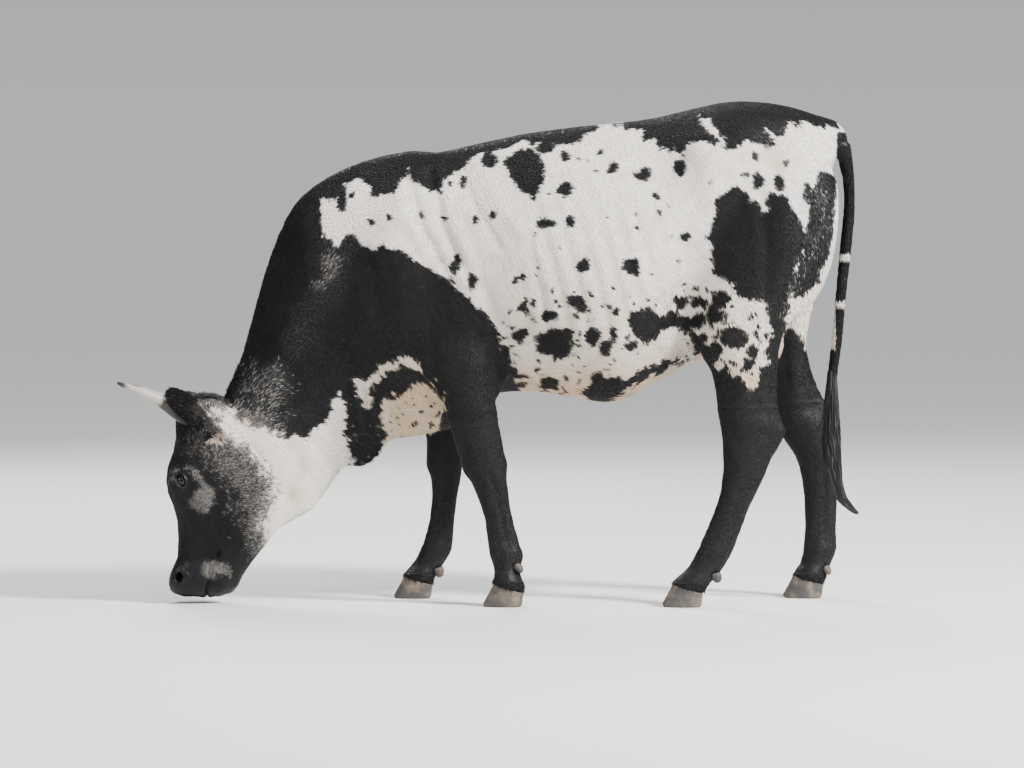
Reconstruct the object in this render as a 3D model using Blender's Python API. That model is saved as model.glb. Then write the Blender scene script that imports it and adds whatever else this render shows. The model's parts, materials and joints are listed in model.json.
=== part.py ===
"""A grazing nguni cow, life size, standing with its muzzle just above the ground.

The cow faces -X, its left side faces -Y and it stands on Z = 0. Lengths are in metres. The body is
modelled whole, from lofted forms and muscles, and parted into named pieces by thin cuts. Eyes, horns,
ears, claws and the udder are pieces of their own, each seated in a socket of its own shape.
"""

import random
from dataclasses import dataclass
from math import cos, pi, radians, sin, sqrt, tau

import bmesh
import bpy
import numpy as np
from mathutils import Matrix, Vector

# Driving sizes
GAP = 0.0003  # between neighbouring pieces
NEAR, FAR = -1.0, 1.0  # the side of the body, as the sign of Y
FINE_VOXEL = 0.0052  # grain of the modelling mass before it is thinned
BODY_TRIANGLES = 5900
FINE_HOLD = 3e-4  # how much more the head and feet resist the thinning
EDGE_LINE = 0.15  # how far across a form its edge widths are measured
LEAST_HALF_WIDTH = 0.012
EYE_RADIUS = 0.0185
LID_THICKNESS = 0.005
EYE_OPENING = (0.0185, 0.0105)  # half length and half height between the lids
CLAW_HALF_WIDTH = 0.0265
CLAW_SPREAD = 0.0265  # from the middle of a foot to the middle of each claw
DEWCLAW_LENGTH = 0.020

# The head is modelled upright in its own plane, then rolled and turned a little about the poll.
HEAD_PIVOT = Vector((-0.70, 0.0, 0.50))
HEAD_ROLL, HEAD_YAW = radians(-3.6), radians(-2.0)
HEAD_TURN = (
    Matrix.Translation(HEAD_PIVOT)
    @ Matrix.Rotation(HEAD_ROLL, 4, "X")
    @ Matrix.Rotation(HEAD_YAW, 4, "Z")
    @ Matrix.Translation(-HEAD_PIVOT)
)


@dataclass(frozen=True)
class Section:
    """One cross section of a form: its front or upper edge, its rear or lower edge, its half widths
    near the front, at the middle and near the rear, and the distance of its middle from the spine."""

    front: tuple
    rear: tuple
    widths: tuple
    out: float = 0.0

    def row(self):
        return (*self.front, *self.rear, *self.widths, self.out)


# Neck and trunk, from the back of the head to the rump: upper edge, lower edge, half widths
TRUNK = (
    Section((-0.800, 0.420), (-0.568, 0.205), (0.050, 0.070, 0.045)),
    Section((-0.786, 0.487), (-0.500, 0.252), (0.055, 0.080, 0.052)),
    Section((-0.739, 0.567), (-0.453, 0.312), (0.058, 0.092, 0.052)),
    Section((-0.697, 0.666), (-0.420, 0.362), (0.055, 0.098, 0.045)),
    Section((-0.665, 0.781), (-0.386, 0.372), (0.055, 0.105, 0.035)),
    Section((-0.633, 0.903), (-0.360, 0.369), (0.058, 0.118, 0.035)),
    Section((-0.584, 1.036), (-0.327, 0.389), (0.065, 0.138, 0.045)),
    Section((-0.520, 1.124), (-0.283, 0.446), (0.090, 0.155, 0.065)),
    Section((-0.416, 1.190), (-0.228, 0.454), (0.108, 0.182, 0.090)),
    Section((-0.291, 1.230), (-0.162, 0.468), (0.118, 0.200, 0.110)),
    Section((-0.167, 1.235), (-0.099, 0.487), (0.122, 0.210, 0.125)),
    Section((-0.035, 1.263), (-0.008, 0.567), (0.138, 0.234, 0.155)),
    Section((0.091, 1.289), (0.107, 0.578), (0.155, 0.260, 0.190)),
    Section((0.217, 1.306), (0.217, 0.564), (0.165, 0.285, 0.222)),
    Section((0.341, 1.319), (0.333, 0.550), (0.170, 0.294, 0.235)),
    Section((0.437, 1.330), (0.443, 0.603), (0.172, 0.281, 0.205)),
    Section((0.546, 1.356), (0.547, 0.655), (0.190, 0.245, 0.140)),
    Section((0.650, 1.376), (0.652, 0.694), (0.195, 0.215, 0.110)),
    Section((0.752, 1.373), (0.753, 0.735), (0.180, 0.195, 0.100)),
    Section((0.848, 1.353), (0.830, 0.831), (0.150, 0.165, 0.085)),
    Section((0.915, 1.318), (0.885, 0.968), (0.100, 0.120, 0.065)),
    Section((0.945, 1.270), (0.912, 1.110), (0.045, 0.060, 0.035)),
)

# Head, from the poll down to the lips: face, jaw, half widths
HEAD = (
    Section((-0.806, 0.574), (-0.765, 0.574), (0.020, 0.024, 0.020)),
    Section((-0.828, 0.564), (-0.745, 0.564), (0.042, 0.048, 0.042)),
    Section((-0.852, 0.537), (-0.712, 0.537), (0.062, 0.072, 0.062)),
    Section((-0.869, 0.501), (-0.676, 0.501), (0.078, 0.084, 0.072)),
    Section((-0.869, 0.457), (-0.630, 0.457), (0.084, 0.088, 0.072)),
    Section((-0.875, 0.418), (-0.586, 0.418), (0.092, 0.092, 0.070)),
    Section((-0.889, 0.377), (-0.560, 0.377), (0.104, 0.098, 0.070)),
    Section((-0.895, 0.336), (-0.553, 0.336), (0.108, 0.101, 0.072)),
    Section((-0.889, 0.297), (-0.556, 0.297), (0.100, 0.100, 0.074)),
    Section((-0.876, 0.264), (-0.563, 0.264), (0.089, 0.096, 0.072)),
    Section((-0.867, 0.228), (-0.574, 0.228), (0.077, 0.088, 0.066)),
    Section((-0.864, 0.192), (-0.594, 0.192), (0.066, 0.078, 0.056)),
    Section((-0.864, 0.156), (-0.625, 0.156), (0.058, 0.069, 0.046)),
    Section((-0.867, 0.123), (-0.652, 0.123), (0.056, 0.065, 0.041)),
    Section((-0.880, 0.093), (-0.674, 0.093), (0.060, 0.067, 0.041)),
    Section((-0.888, 0.065), (-0.691, 0.065), (0.064, 0.068, 0.041)),
    Section((-0.888, 0.044), (-0.700, 0.044), (0.062, 0.062, 0.038)),
    Section((-0.878, 0.026), (-0.716, 0.027), (0.052, 0.050, 0.030)),
    Section((-0.850, 0.016), (-0.745, 0.017), (0.028, 0.028, 0.016)),
)

# Each leg, from inside the body down to below the coronet: front edge, rear edge, half widths, and how far
# out it stands
FORE_NEAR = (
    Section((-0.330, 0.930), (0.010, 0.930), (0.050, 0.060, 0.050), 0.105),
    Section((-0.262, 0.770), (0.006, 0.770), (0.055, 0.065, 0.055), 0.135),
    Section((-0.192, 0.649), (0.004, 0.640), (0.054, 0.062, 0.046), 0.150),
    Section((-0.132, 0.538), (0.015, 0.524), (0.046, 0.052, 0.035), 0.152),
    Section((-0.105, 0.453), (0.028, 0.459), (0.038, 0.043, 0.030), 0.148),
    Section((-0.083, 0.383), (0.039, 0.372), (0.038, 0.041, 0.032), 0.145),
    Section((-0.058, 0.338), (0.043, 0.334), (0.033, 0.036, 0.027), 0.143),
    Section((-0.043, 0.300), (0.046, 0.296), (0.026, 0.028, 0.022), 0.142),
    Section((-0.024, 0.246), (0.055, 0.249), (0.023, 0.025, 0.020), 0.141),
    Section((-0.014, 0.180), (0.072, 0.182), (0.024, 0.027, 0.021), 0.140),
    Section((-0.008, 0.138), (0.085, 0.140), (0.034, 0.037, 0.029), 0.140),
    Section((0.004, 0.098), (0.076, 0.098), (0.032, 0.036, 0.029), 0.140),
    Section((0.001, 0.070), (0.086, 0.060), (0.046, 0.050, 0.044), 0.140),
    Section((-0.004, 0.040), (0.086, 0.030), (0.046, 0.050, 0.044), 0.140),
)
FORE_FAR = (
    Section((-0.340, 0.930), (-0.010, 0.930), (0.050, 0.060, 0.050), 0.105),
    Section((-0.315, 0.770), (-0.035, 0.770), (0.055, 0.065, 0.055), 0.135),
    Section((-0.262, 0.620), (-0.070, 0.615), (0.052, 0.060, 0.044), 0.148),
    Section((-0.200, 0.510), (-0.079, 0.500), (0.045, 0.050, 0.035), 0.147),
    Section((-0.186, 0.440), (-0.082, 0.440), (0.038, 0.043, 0.031), 0.144),
    Section((-0.182, 0.385), (-0.084, 0.380), (0.037, 0.041, 0.032), 0.142),
    Section((-0.173, 0.335), (-0.087, 0.338), (0.033, 0.036, 0.027), 0.141),
    Section((-0.170, 0.288), (-0.095, 0.294), (0.026, 0.028, 0.022), 0.140),
    Section((-0.176, 0.224), (-0.104, 0.233), (0.023, 0.025, 0.020), 0.140),
    Section((-0.190, 0.166), (-0.109, 0.176), (0.024, 0.027, 0.021), 0.140),
    Section((-0.208, 0.120), (-0.114, 0.132), (0.034, 0.037, 0.029), 0.140),
    Section((-0.226, 0.092), (-0.136, 0.094), (0.032, 0.036, 0.029), 0.140),
    Section((-0.247, 0.068), (-0.162, 0.058), (0.046, 0.050, 0.044), 0.140),
    Section((-0.255, 0.035), (-0.165, 0.030), (0.046, 0.050, 0.044), 0.140),
)
HIND_NEAR = (
    Section((0.610, 1.290), (0.895, 1.255), (0.045, 0.050, 0.045), 0.115),
    Section((0.548, 1.146), (0.940, 1.133), (0.066, 0.082, 0.066), 0.143),
    Section((0.522, 0.970), (0.927, 0.970), (0.070, 0.092, 0.078), 0.158),
    Section((0.522, 0.820), (0.856, 0.834), (0.070, 0.088, 0.064), 0.163),
    Section((0.547, 0.712), (0.794, 0.739), (0.062, 0.076, 0.048), 0.162),
    Section((0.591, 0.638), (0.778, 0.617), (0.048, 0.060, 0.035), 0.160),
    Section((0.607, 0.551), (0.781, 0.535), (0.040, 0.046, 0.025), 0.157),
    Section((0.621, 0.472), (0.795, 0.467), (0.034, 0.038, 0.021), 0.155),
    Section((0.626, 0.402), (0.762, 0.402), (0.032, 0.036, 0.021), 0.152),
    Section((0.621, 0.328), (0.727, 0.323), (0.027, 0.030, 0.021), 0.150),
    Section((0.607, 0.274), (0.703, 0.274), (0.024, 0.027, 0.020), 0.150),
    Section((0.578, 0.203), (0.676, 0.203), (0.025, 0.028, 0.021), 0.150),
    Section((0.553, 0.144), (0.650, 0.140), (0.034, 0.037, 0.029), 0.150),
    Section((0.529, 0.106), (0.622, 0.094), (0.032, 0.036, 0.029), 0.150),
    Section((0.494, 0.072), (0.586, 0.056), (0.046, 0.050, 0.044), 0.150),
    Section((0.482, 0.040), (0.574, 0.028), (0.046, 0.050, 0.044), 0.150),
)
HIND_FAR = (
    Section((0.610, 1.290), (0.895, 1.255), (0.045, 0.050, 0.045), 0.115),
    Section((0.548, 1.146), (0.940, 1.133), (0.066, 0.082, 0.066), 0.143),
    Section((0.530, 0.970), (0.930, 0.970), (0.070, 0.092, 0.078), 0.158),
    Section((0.560, 0.828), (0.898, 0.828), (0.070, 0.088, 0.064), 0.163),
    Section((0.620, 0.717), (0.878, 0.712), (0.062, 0.076, 0.048), 0.162),
    Section((0.705, 0.628), (0.893, 0.628), (0.048, 0.060, 0.035), 0.160),
    Section((0.755, 0.539), (0.932, 0.539), (0.040, 0.046, 0.025), 0.157),
    Section((0.800, 0.452), (0.965, 0.464), (0.034, 0.038, 0.021), 0.155),
    Section((0.842, 0.390), (0.965, 0.388), (0.032, 0.036, 0.021), 0.152),
    Section((0.862, 0.307), (0.962, 0.307), (0.026, 0.029, 0.021), 0.150),
    Section((0.868, 0.215), (0.958, 0.215), (0.024, 0.027, 0.020), 0.150),
    Section((0.866, 0.165), (0.956, 0.168), (0.027, 0.030, 0.023), 0.150),
    Section((0.862, 0.128), (0.957, 0.132), (0.034, 0.037, 0.029), 0.150),
    Section((0.854, 0.096), (0.942, 0.094), (0.032, 0.036, 0.029), 0.150),
    Section((0.838, 0.070), (0.926, 0.058), (0.046, 0.050, 0.044), 0.150),
    Section((0.832, 0.040), (0.920, 0.030), (0.046, 0.050, 0.044), 0.150),
)


@dataclass(frozen=True)
class Leg:
    """One leg: its name and side, its sections, the heights where it is parted, and its foot."""

    name: str
    side: float
    sections: tuple
    upper: str  # what the part above the knee or hock is called
    cuts: tuple  # heights of the top, the knee or hock, and the fetlock
    sole: tuple  # X of the toe and of the heel
    out: float  # distance of the foot from the middle plane
    coronet: float  # height of the top of the hoof at the toe


LEGS = (
    Leg("fore_left", NEAR, FORE_NEAR, "forearm", (0.515, 0.375, 0.135), (-0.026, 0.082), 0.140, 0.070),
    Leg("fore_right", FAR, FORE_FAR, "forearm", (0.515, 0.378, 0.125), (-0.276, -0.170), 0.140, 0.070),
    Leg("hind_left", NEAR, HIND_NEAR, "gaskin", (0.600, 0.430, 0.135), (0.462, 0.570), 0.150, 0.070),
    Leg("hind_right", FAR, HIND_FAR, "gaskin", (0.600, 0.425, 0.125), (0.808, 0.916), 0.150, 0.070),
)

# Tail and horns: points of the middle line with the radius there
TAIL = (
    ((0.870, 0.0, 1.310), 0.036),
    ((0.925, 0.0, 1.293), 0.034),
    ((0.956, 0.0, 1.255), 0.027),
    ((0.970, 0.0, 1.205), 0.0205),
    ((0.978, 0.0, 1.150), 0.0170),
    ((0.979, 0.0, 1.080), 0.0165),
    ((0.970, 0.0, 0.980), 0.0172),
    ((0.958, 0.0, 0.860), 0.0160),
    ((0.946, 0.0, 0.730), 0.0165),
    ((0.934, 0.0, 0.625), 0.0150),
    ((0.932, 0.0, 0.540), 0.0130),
    ((0.932, 0.0, 0.470), 0.0080),
)
HORN = (
    ((-0.805, 0.045, 0.500), 0.0360),
    ((-0.842, 0.088, 0.524), 0.0335),
    ((-0.875, 0.118, 0.541), 0.0275),
    ((-0.916, 0.143, 0.560), 0.0205),
    ((-0.957, 0.157, 0.577), 0.0150),
    ((-0.995, 0.163, 0.592), 0.0095),
    ((-1.014, 0.164, 0.600), 0.0040),
)

EYE_CENTRE = (-0.845, 0.0955, 0.334)
EAR_BASE, EAR_TIP = Vector((-0.742, 0.078, 0.453)), Vector((-0.8645, 0.2143, 0.5816))
EAR_FACING = Vector((-0.10, 0.55, -0.82))
EAR_HALF_WIDTHS = (0.0235, 0.0280, 0.0400, 0.0490, 0.0510, 0.0450, 0.0320, 0.0060)
EAR_CURLS = (1.30, 1.25, 1.00, 0.72, 0.55, 0.42, 0.34, 0.28)
EAR_THICKNESS = (0.0200, 0.0130, 0.0070, 0.0055, 0.0050, 0.0045, 0.0040, 0.0030)
UDDER_CENTRE, UDDER_RADII = (0.695, 0.0, 0.705), (0.110, 0.086, 0.072)


# Meshes and objects
def evaluated_mesh(obj):
    """The mesh of an object with its modifiers carried out."""
    graph = bpy.context.evaluated_depsgraph_get()
    return bpy.data.meshes.new_from_object(obj.evaluated_get(graph), depsgraph=graph)


def carry_out_modifiers(obj):
    mesh, old = evaluated_mesh(obj), obj.data
    obj.modifiers.clear()
    obj.data = mesh
    bpy.data.meshes.remove(old)


def object_of(bm, name):
    """A new object from a bmesh, with its faces pointing outwards. A piece and its socket split their
    faces alike, so the gap between them stays even."""
    bmesh.ops.recalc_face_normals(bm, faces=bm.faces)
    bmesh.ops.triangulate(bm, faces=bm.faces, quad_method="FIXED")
    mesh = bpy.data.meshes.new(name)
    bm.to_mesh(mesh)
    bm.free()
    obj = bpy.data.objects.new(name, mesh)
    bpy.context.scene.collection.objects.link(obj)
    return obj


def combine(obj, others, operation, solver="EXACT"):
    """Joins the others to obj, or cuts them from it, in one Boolean, and removes them."""
    group = bpy.data.collections.new("combined")
    bpy.context.scene.collection.children.link(group)
    for other in others:
        bpy.context.scene.collection.objects.unlink(other)
        group.objects.link(other)
    boolean = obj.modifiers.new(operation, "BOOLEAN")
    boolean.operation = operation
    boolean.operand_type = "COLLECTION"
    boolean.collection = group
    boolean.solver = solver
    carry_out_modifiers(obj)
    for other in others:
        bpy.data.objects.remove(other)
    bpy.data.collections.remove(group)


def islands(bm):
    """The separate bodies of a bmesh, each as a list of its faces."""
    found, left = [], set(bm.faces)
    while left:
        stack, body = [left.pop()], []
        while stack:
            face = stack.pop()
            body.append(face)
            for edge in face.edges:
                for other in edge.link_faces:
                    if other in left:
                        left.remove(other)
                        stack.append(other)
        found.append(body)
    return found


def keep_largest(obj):
    """Keeps only the largest closed surface of an object."""
    bm = bmesh.new()
    bm.from_mesh(obj.data)
    bodies = sorted(islands(bm), key=lambda body: -sum(face.calc_area() for face in body))
    extra = [face for body in bodies[1:] for face in body]
    bmesh.ops.delete(bm, geom=extra, context="FACES")
    bm.to_mesh(obj.data)
    bm.free()


# Lofted forms
def smooth_rows(rows, steps):
    """Rows of numbers on a smooth curve through the rows given, with this many steps from each to the next."""
    rows = np.asarray(rows, float)
    ends = np.vstack([2 * rows[0] - rows[1], rows, 2 * rows[-1] - rows[-2]])
    made = []
    for i in range(1, len(ends) - 2):
        before, start, end, after = ends[i - 1 : i + 3]
        for t in np.arange(steps) / steps:
            made.append(
                0.5
                * (
                    2 * start
                    + (end - before) * t
                    + (2 * before - 5 * start + 4 * end - after) * t**2
                    + (3 * start - before - 3 * end + after) * t**3
                )
            )
    return np.array([*made, rows[-1]])


def skin_rings(bm, rings):
    """Faces between each ring of points and the next, with both ends closed."""
    loops = [[bm.verts.new(point) for point in ring] for ring in rings]
    count = len(loops[0])
    for lower, upper in zip(loops, loops[1:]):
        for i in range(count):
            j = (i + 1) % count
            bm.faces.new((lower[i], lower[j], upper[j], upper[i]))
    bm.faces.new(loops[0][::-1])
    bm.faces.new(loops[-1])


def add_loft(bm, sections, side=NEAR, sides=36, steps=5, fullness=0.78, edge_share=1.0, turn=None):
    """Adds the form whose cross sections are given, as a closed surface. A lower edge_share rounds both
    edges."""
    angles = np.linspace(0, tau, sides, endpoint=False)
    along = (1 - np.cos(angles)) / 2
    across = np.sign(np.sin(angles)) * np.abs(np.sin(angles)) ** fullness
    edge_reach = (2 * sqrt(EDGE_LINE * (1 - EDGE_LINE))) ** fullness
    lines = (EDGE_LINE, 0.5, 1 - EDGE_LINE)
    rings = []
    for row in smooth_rows([section.row() for section in sections], steps):
        x = row[0] + (row[2] - row[0]) * along
        z = row[1] + (row[3] - row[1]) * along
        widths = row[4:7] * np.array((edge_share / edge_reach, 1.0, edge_share / edge_reach))
        half = np.polyval(np.polyfit(lines, widths, 2), along)
        y = side * row[7] + np.maximum(half, LEAST_HALF_WIDTH) * across
        points = [Vector(point) for point in zip(x, y, z)]
        rings.append([turn @ point for point in points] if turn else points)
    skin_rings(bm, rings)


def tube_rings(path, sides, grow=0.0, steps=1, flatten=1.0):
    """Rings of points square to a path of (point, radius), each a circle, or an ellipse lower in Z.
    Growing adds to the radius and to both ends."""
    rows = smooth_rows([(*point, radius) for point, radius in path], steps)
    points = [Vector(row[:3]) for row in rows]
    points[0] += (points[0] - points[1]).normalized() * grow
    points[-1] += (points[-1] - points[-2]).normalized() * grow
    rings = []
    for i, row in enumerate(rows):
        ahead = points[min(i + 1, len(points) - 1)] - points[max(i - 1, 0)]
        side = ahead.cross(Vector((0, 0, 1)) if abs(ahead.normalized().z) < 0.9 else Vector((0, 1, 0)))
        side.normalize()
        up = side.cross(ahead).normalized()
        radius = row[3] + grow
        rings.append(
            [
                points[i]
                + side * radius * cos(tau * k / sides)
                + up * radius * flatten * sin(tau * k / sides)
                for k in range(sides)
            ]
        )
    return rings


def mirrored(path, side):
    """A path of (point, radius) on the near or the far side."""
    return [((x, side * y, z), radius) for (x, y, z), radius in path]


def add_muscle(bm, start, end, thickness, depth, side, turn=None):
    """Adds an ellipsoid from one point to another: its half thickness is across the body."""
    start = Vector((start[0], side * start[1], start[2]))
    end = Vector((end[0], side * end[1], end[2]))
    along = end - start
    across = (Vector((0, 1, 0)) - along * (along.y / along.length_squared)).normalized()
    third = along.normalized().cross(across)
    matrix = Matrix.Translation((start + end) / 2) @ Matrix(
        [
            (along.x / 2, across.x * thickness, third.x * depth, 0),
            (along.y / 2, across.y * thickness, third.y * depth, 0),
            (along.z / 2, across.z * thickness, third.z * depth, 0),
            (0, 0, 0, 1),
        ]
    )
    bmesh.ops.create_icosphere(bm, subdivisions=3, radius=1.0, matrix=turn @ matrix if turn else matrix)


# The body as one mass
def rough_body():
    """The overlapping forms of the whole body."""
    bm = bmesh.new()
    add_loft(bm, TRUNK, sides=48)
    add_loft(bm, HEAD, sides=40, fullness=0.72, turn=HEAD_TURN)
    for leg in LEGS:
        add_loft(bm, leg.sections, leg.side, fullness=0.85, edge_share=0.78)
    for side, forward in ((NEAR, 0.0), (FAR, -0.045)):
        # the back of the upper arm
        add_muscle(bm, (-0.290, 0.100, 1.000), (0.010 + forward, 0.135, 0.560), 0.060, 0.120, side)
        # haunch and buttock
        add_muscle(bm, (0.560, 0.150, 0.700), (0.745, 0.120, 1.270), 0.095, 0.140, side)
        add_muscle(bm, (0.880, 0.085, 1.190), (0.800, 0.150, 0.780), 0.075, 0.095, side)
        # the bony rim of the eye
        add_muscle(bm, (-0.838, 0.086, 0.386), (-0.854, 0.086, 0.290), 0.028, 0.034, side, HEAD_TURN)
    skin_rings(bm, tube_rings(TAIL, 20, steps=4))
    return object_of(bm, "body")


SHARED, HEAD_ONLY = "shared", "head"
# Each relief: where, on which form, how wide, and how high it stands, or how deep it sinks
RELIEFS = (
    (SHARED, (0.560, 0.215, 1.290), 0.045, 0.026),  # hook of the hip
    (SHARED, (0.465, 0.235, 1.175), 0.110, -0.024),  # hollow of the flank
    (SHARED, (0.915, 0.095, 1.235), 0.036, 0.016),  # pin bone
    (SHARED, (0.770, 0.160, 1.215), 0.080, -0.010),
    (SHARED, (-0.215, 0.055, 1.235), 0.050, 0.014),  # top of the shoulder blade
    (SHARED, (-0.240, 0.140, 1.100), 0.100, 0.016),  # the shoulder blade and its spine
    (SHARED, (-0.280, 0.190, 0.930), 0.110, 0.018),
    (SHARED, (-0.290, 0.185, 0.960), 0.035, 0.006),
    (SHARED, (-0.270, 0.170, 1.060), 0.035, 0.006),
    (SHARED, (-0.330, 0.180, 0.740), 0.090, 0.020),  # point of the shoulder
    (SHARED, (-0.200, 0.200, 0.700), 0.090, 0.012),  # upper arm
    (SHARED, (-0.420, 0.150, 0.990), 0.070, -0.012),  # hollow before the shoulder
    (SHARED, (-0.040, 0.220, 0.930), 0.110, -0.014),  # hollow behind the shoulder
    (SHARED, (0.515, 0.235, 0.790), 0.070, -0.014),  # before the stifle
    (SHARED, (-0.520, 0.110, 0.620), 0.060, -0.010),  # groove of the throat
    (SHARED, (-0.470, 0.120, 0.740), 0.060, -0.008),
    (HEAD_ONLY, (-0.872, 0.105, 0.358), 0.018, 0.006),  # brow
    (HEAD_ONLY, (-0.800, 0.095, 0.398), 0.030, -0.008),  # hollow behind the brow
    (HEAD_ONLY, (-0.820, 0.085, 0.262), 0.022, -0.006),  # below the eye
    (HEAD_ONLY, (-0.775, 0.085, 0.225), 0.022, 0.007),  # ridge of the face
    (HEAD_ONLY, (-0.670, 0.085, 0.270), 0.050, 0.007),  # cheek
    (HEAD_ONLY, (-0.790, 0.070, 0.160), 0.030, -0.006),
    (HEAD_ONLY, (-0.845, 0.060, 0.098), 0.018, 0.006),  # wing of the nostril
    (HEAD_ONLY, (-0.870, 0.050, 0.058), 0.020, 0.005),
    (HEAD_ONLY, (-0.800, 0.062, 0.050), 0.018, 0.006),  # upper lip
    (HEAD_ONLY, (-0.735, 0.045, 0.045), 0.020, 0.006),  # chin
    (HEAD_ONLY, (-0.770, 0.075, 0.475), 0.036, 0.012),  # root of the ear
)
LEG_RELIEFS = (
    # knees: the joint's two rows of bones, and the bone behind
    (NEAR, (-0.060, 0.145, 0.372), 0.026, 0.006),
    (NEAR, (0.036, 0.145, 0.392), 0.018, 0.006),
    (FAR, (-0.176, 0.142, 0.372), 0.026, 0.006),
    (FAR, (-0.084, 0.142, 0.398), 0.018, 0.006),
    # hollow before the tendon of the hock, on the outer and the inner side
    (NEAR, (0.730, 0.190, 0.530), 0.030, -0.007),
    (NEAR, (0.730, 0.120, 0.530), 0.030, -0.007),
    (FAR, (0.880, 0.190, 0.530), 0.030, -0.007),
    (FAR, (0.880, 0.120, 0.530), 0.030, -0.007),
    # point and bones of the hock
    (NEAR, (0.790, 0.155, 0.478), 0.018, 0.007),
    (NEAR, (0.650, 0.185, 0.420), 0.024, 0.005),
    (FAR, (0.960, 0.155, 0.474), 0.018, 0.007),
    (FAR, (0.850, 0.185, 0.410), 0.024, 0.005),
)


def press(points, normals, centre, width, height):
    """Raises or sinks the surface round a point, smoothly out to about twice the width."""
    near = np.exp(-((np.linalg.norm(points - np.array(centre), axis=1) / width) ** 2))
    points += normals * (near * height)[:, None]


def arrays(mesh):
    points = np.empty(len(mesh.vertices) * 3)
    normals = np.empty(len(mesh.vertices) * 3)
    mesh.vertices.foreach_get("co", points)
    mesh.vertices.foreach_get("normal", normals)
    return points.reshape(-1, 3), normals.reshape(-1, 3)


def weigh(obj, name, weights):
    """A vertex group with these weights, rounded to tenths."""
    group = obj.vertex_groups.new(name=name)
    steps = np.rint(np.clip(weights, 0, 1) * 10).astype(int)
    for step in range(1, 11):
        group.add(np.flatnonzero(steps == step).tolist(), step / 10, "REPLACE")


def fine_places(points):
    """1 on the head and feet, and less where the forms are large and plain."""
    x, z = points[:, 0], points[:, 2]
    on_head = np.clip((0.60 - z) / 0.06, 0, 1) * np.clip((-0.50 - x) / 0.08, 0, 1)
    on_legs = np.clip((0.50 - z) / 0.10, 0, 1) * (x > -0.33)
    return np.maximum(on_head, 0.45 * on_legs)


def large_places(points):
    """1 on the trunk and neck, whose forms flow into each other over a hand's breadth, and little elsewhere."""
    x, z = points[:, 0], points[:, 2]
    above_legs = np.clip((z - 0.50) / 0.20, 0.06, 1)
    off_head = np.clip(((x + 0.61) * 0.65 + (z - 0.45) * 0.76) / 0.30, 0, 1)
    off_tail = np.clip((0.940 - x) / 0.04, 0, 1)
    return above_legs * off_head * off_tail


def modelled_body():
    """The whole body as one closed, thinned surface."""
    body = rough_body()
    remesh = body.modifiers.new("mass", "REMESH")
    remesh.mode = "VOXEL"
    remesh.voxel_size = FINE_VOXEL
    carry_out_modifiers(body)
    points, _ = arrays(body.data)
    weigh(body, "large", large_places(points))
    for name, group, rounds in (("all over", "", 5), ("large forms", "large", 60)):
        smooth = body.modifiers.new(name, "SMOOTH")
        smooth.factor = 0.5
        smooth.iterations = rounds
        smooth.vertex_group = group
    carry_out_modifiers(body)
    points, normals = arrays(body.data)
    for form, (x, y, z), width, height in RELIEFS:
        for side in (NEAR, FAR):
            centre = Vector((x, side * y, z))
            press(points, normals, HEAD_TURN @ centre if form == HEAD_ONLY else centre, width, height)
    for side, (x, y, z), width, height in LEG_RELIEFS:
        press(points, normals, (x, side * y, z), width, height)
    body.data.vertices.foreach_set("co", points.ravel())
    body.data.update()
    body.vertex_groups.clear()
    weigh(body, "coarse", 1 - 0.9 * fine_places(points))
    thin = body.modifiers.new("thin", "DECIMATE")
    thin.ratio = BODY_TRIANGLES / (2 * len(body.data.polygons))
    thin.vertex_group = "coarse"
    thin.vertex_group_factor = FINE_HOLD
    carry_out_modifiers(body)
    body.vertex_groups.clear()
    return body


# Cutters and the pieces that sit in the body
def slab(name, point, direction, half_length, half_width, thickness=GAP):
    """A thin plate square to a direction: half_length is its reach in the XZ plane, half_width along Y."""
    across = Vector((0, 1, 0)) - Vector(direction) * direction[1] / Vector(direction).length_squared
    normal = Vector(direction).normalized()
    across.normalize()
    along = normal.cross(across)
    bm = bmesh.new()
    matrix = Matrix.Translation(point) @ Matrix(
        [
            (along[i] * half_length * 2, across[i] * half_width * 2, normal[i] * thickness, 0)
            for i in range(3)
        ]
        + [(0, 0, 0, 1)]
    )
    bmesh.ops.create_cube(bm, size=1.0, matrix=matrix)
    return object_of(bm, name)


def leg_middle(leg, height):
    """The middle of a leg at a height, the direction of the leg there, and half its depth."""
    rows = smooth_rows([section.row() for section in leg.sections], 8)
    middles = (rows[:, 0:2] + rows[:, 2:4]) / 2
    i = int(np.argmin(np.abs(middles[:, 1] - height)))
    ahead = middles[min(i + 1, len(rows) - 1)] - middles[max(i - 1, 0)]
    ahead /= np.linalg.norm(ahead)
    half_depth = np.linalg.norm(rows[i, 0:2] - rows[i, 2:4]) / 2
    point = Vector((middles[i, 0], leg.side * rows[i, 7], middles[i, 1]))
    return point, Vector((ahead[0], 0, ahead[1])), half_depth


def coronet_plane(leg):
    """A point on the upper edge of the hoof and the upward direction of its slope, low at the heel."""
    toe, heel = leg.sole
    middle = toe + 0.45 * (heel - toe)
    return Vector((middle, leg.side * leg.out, leg.coronet - 0.014)), Vector((0.30, 0, 1)).normalized()


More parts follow.
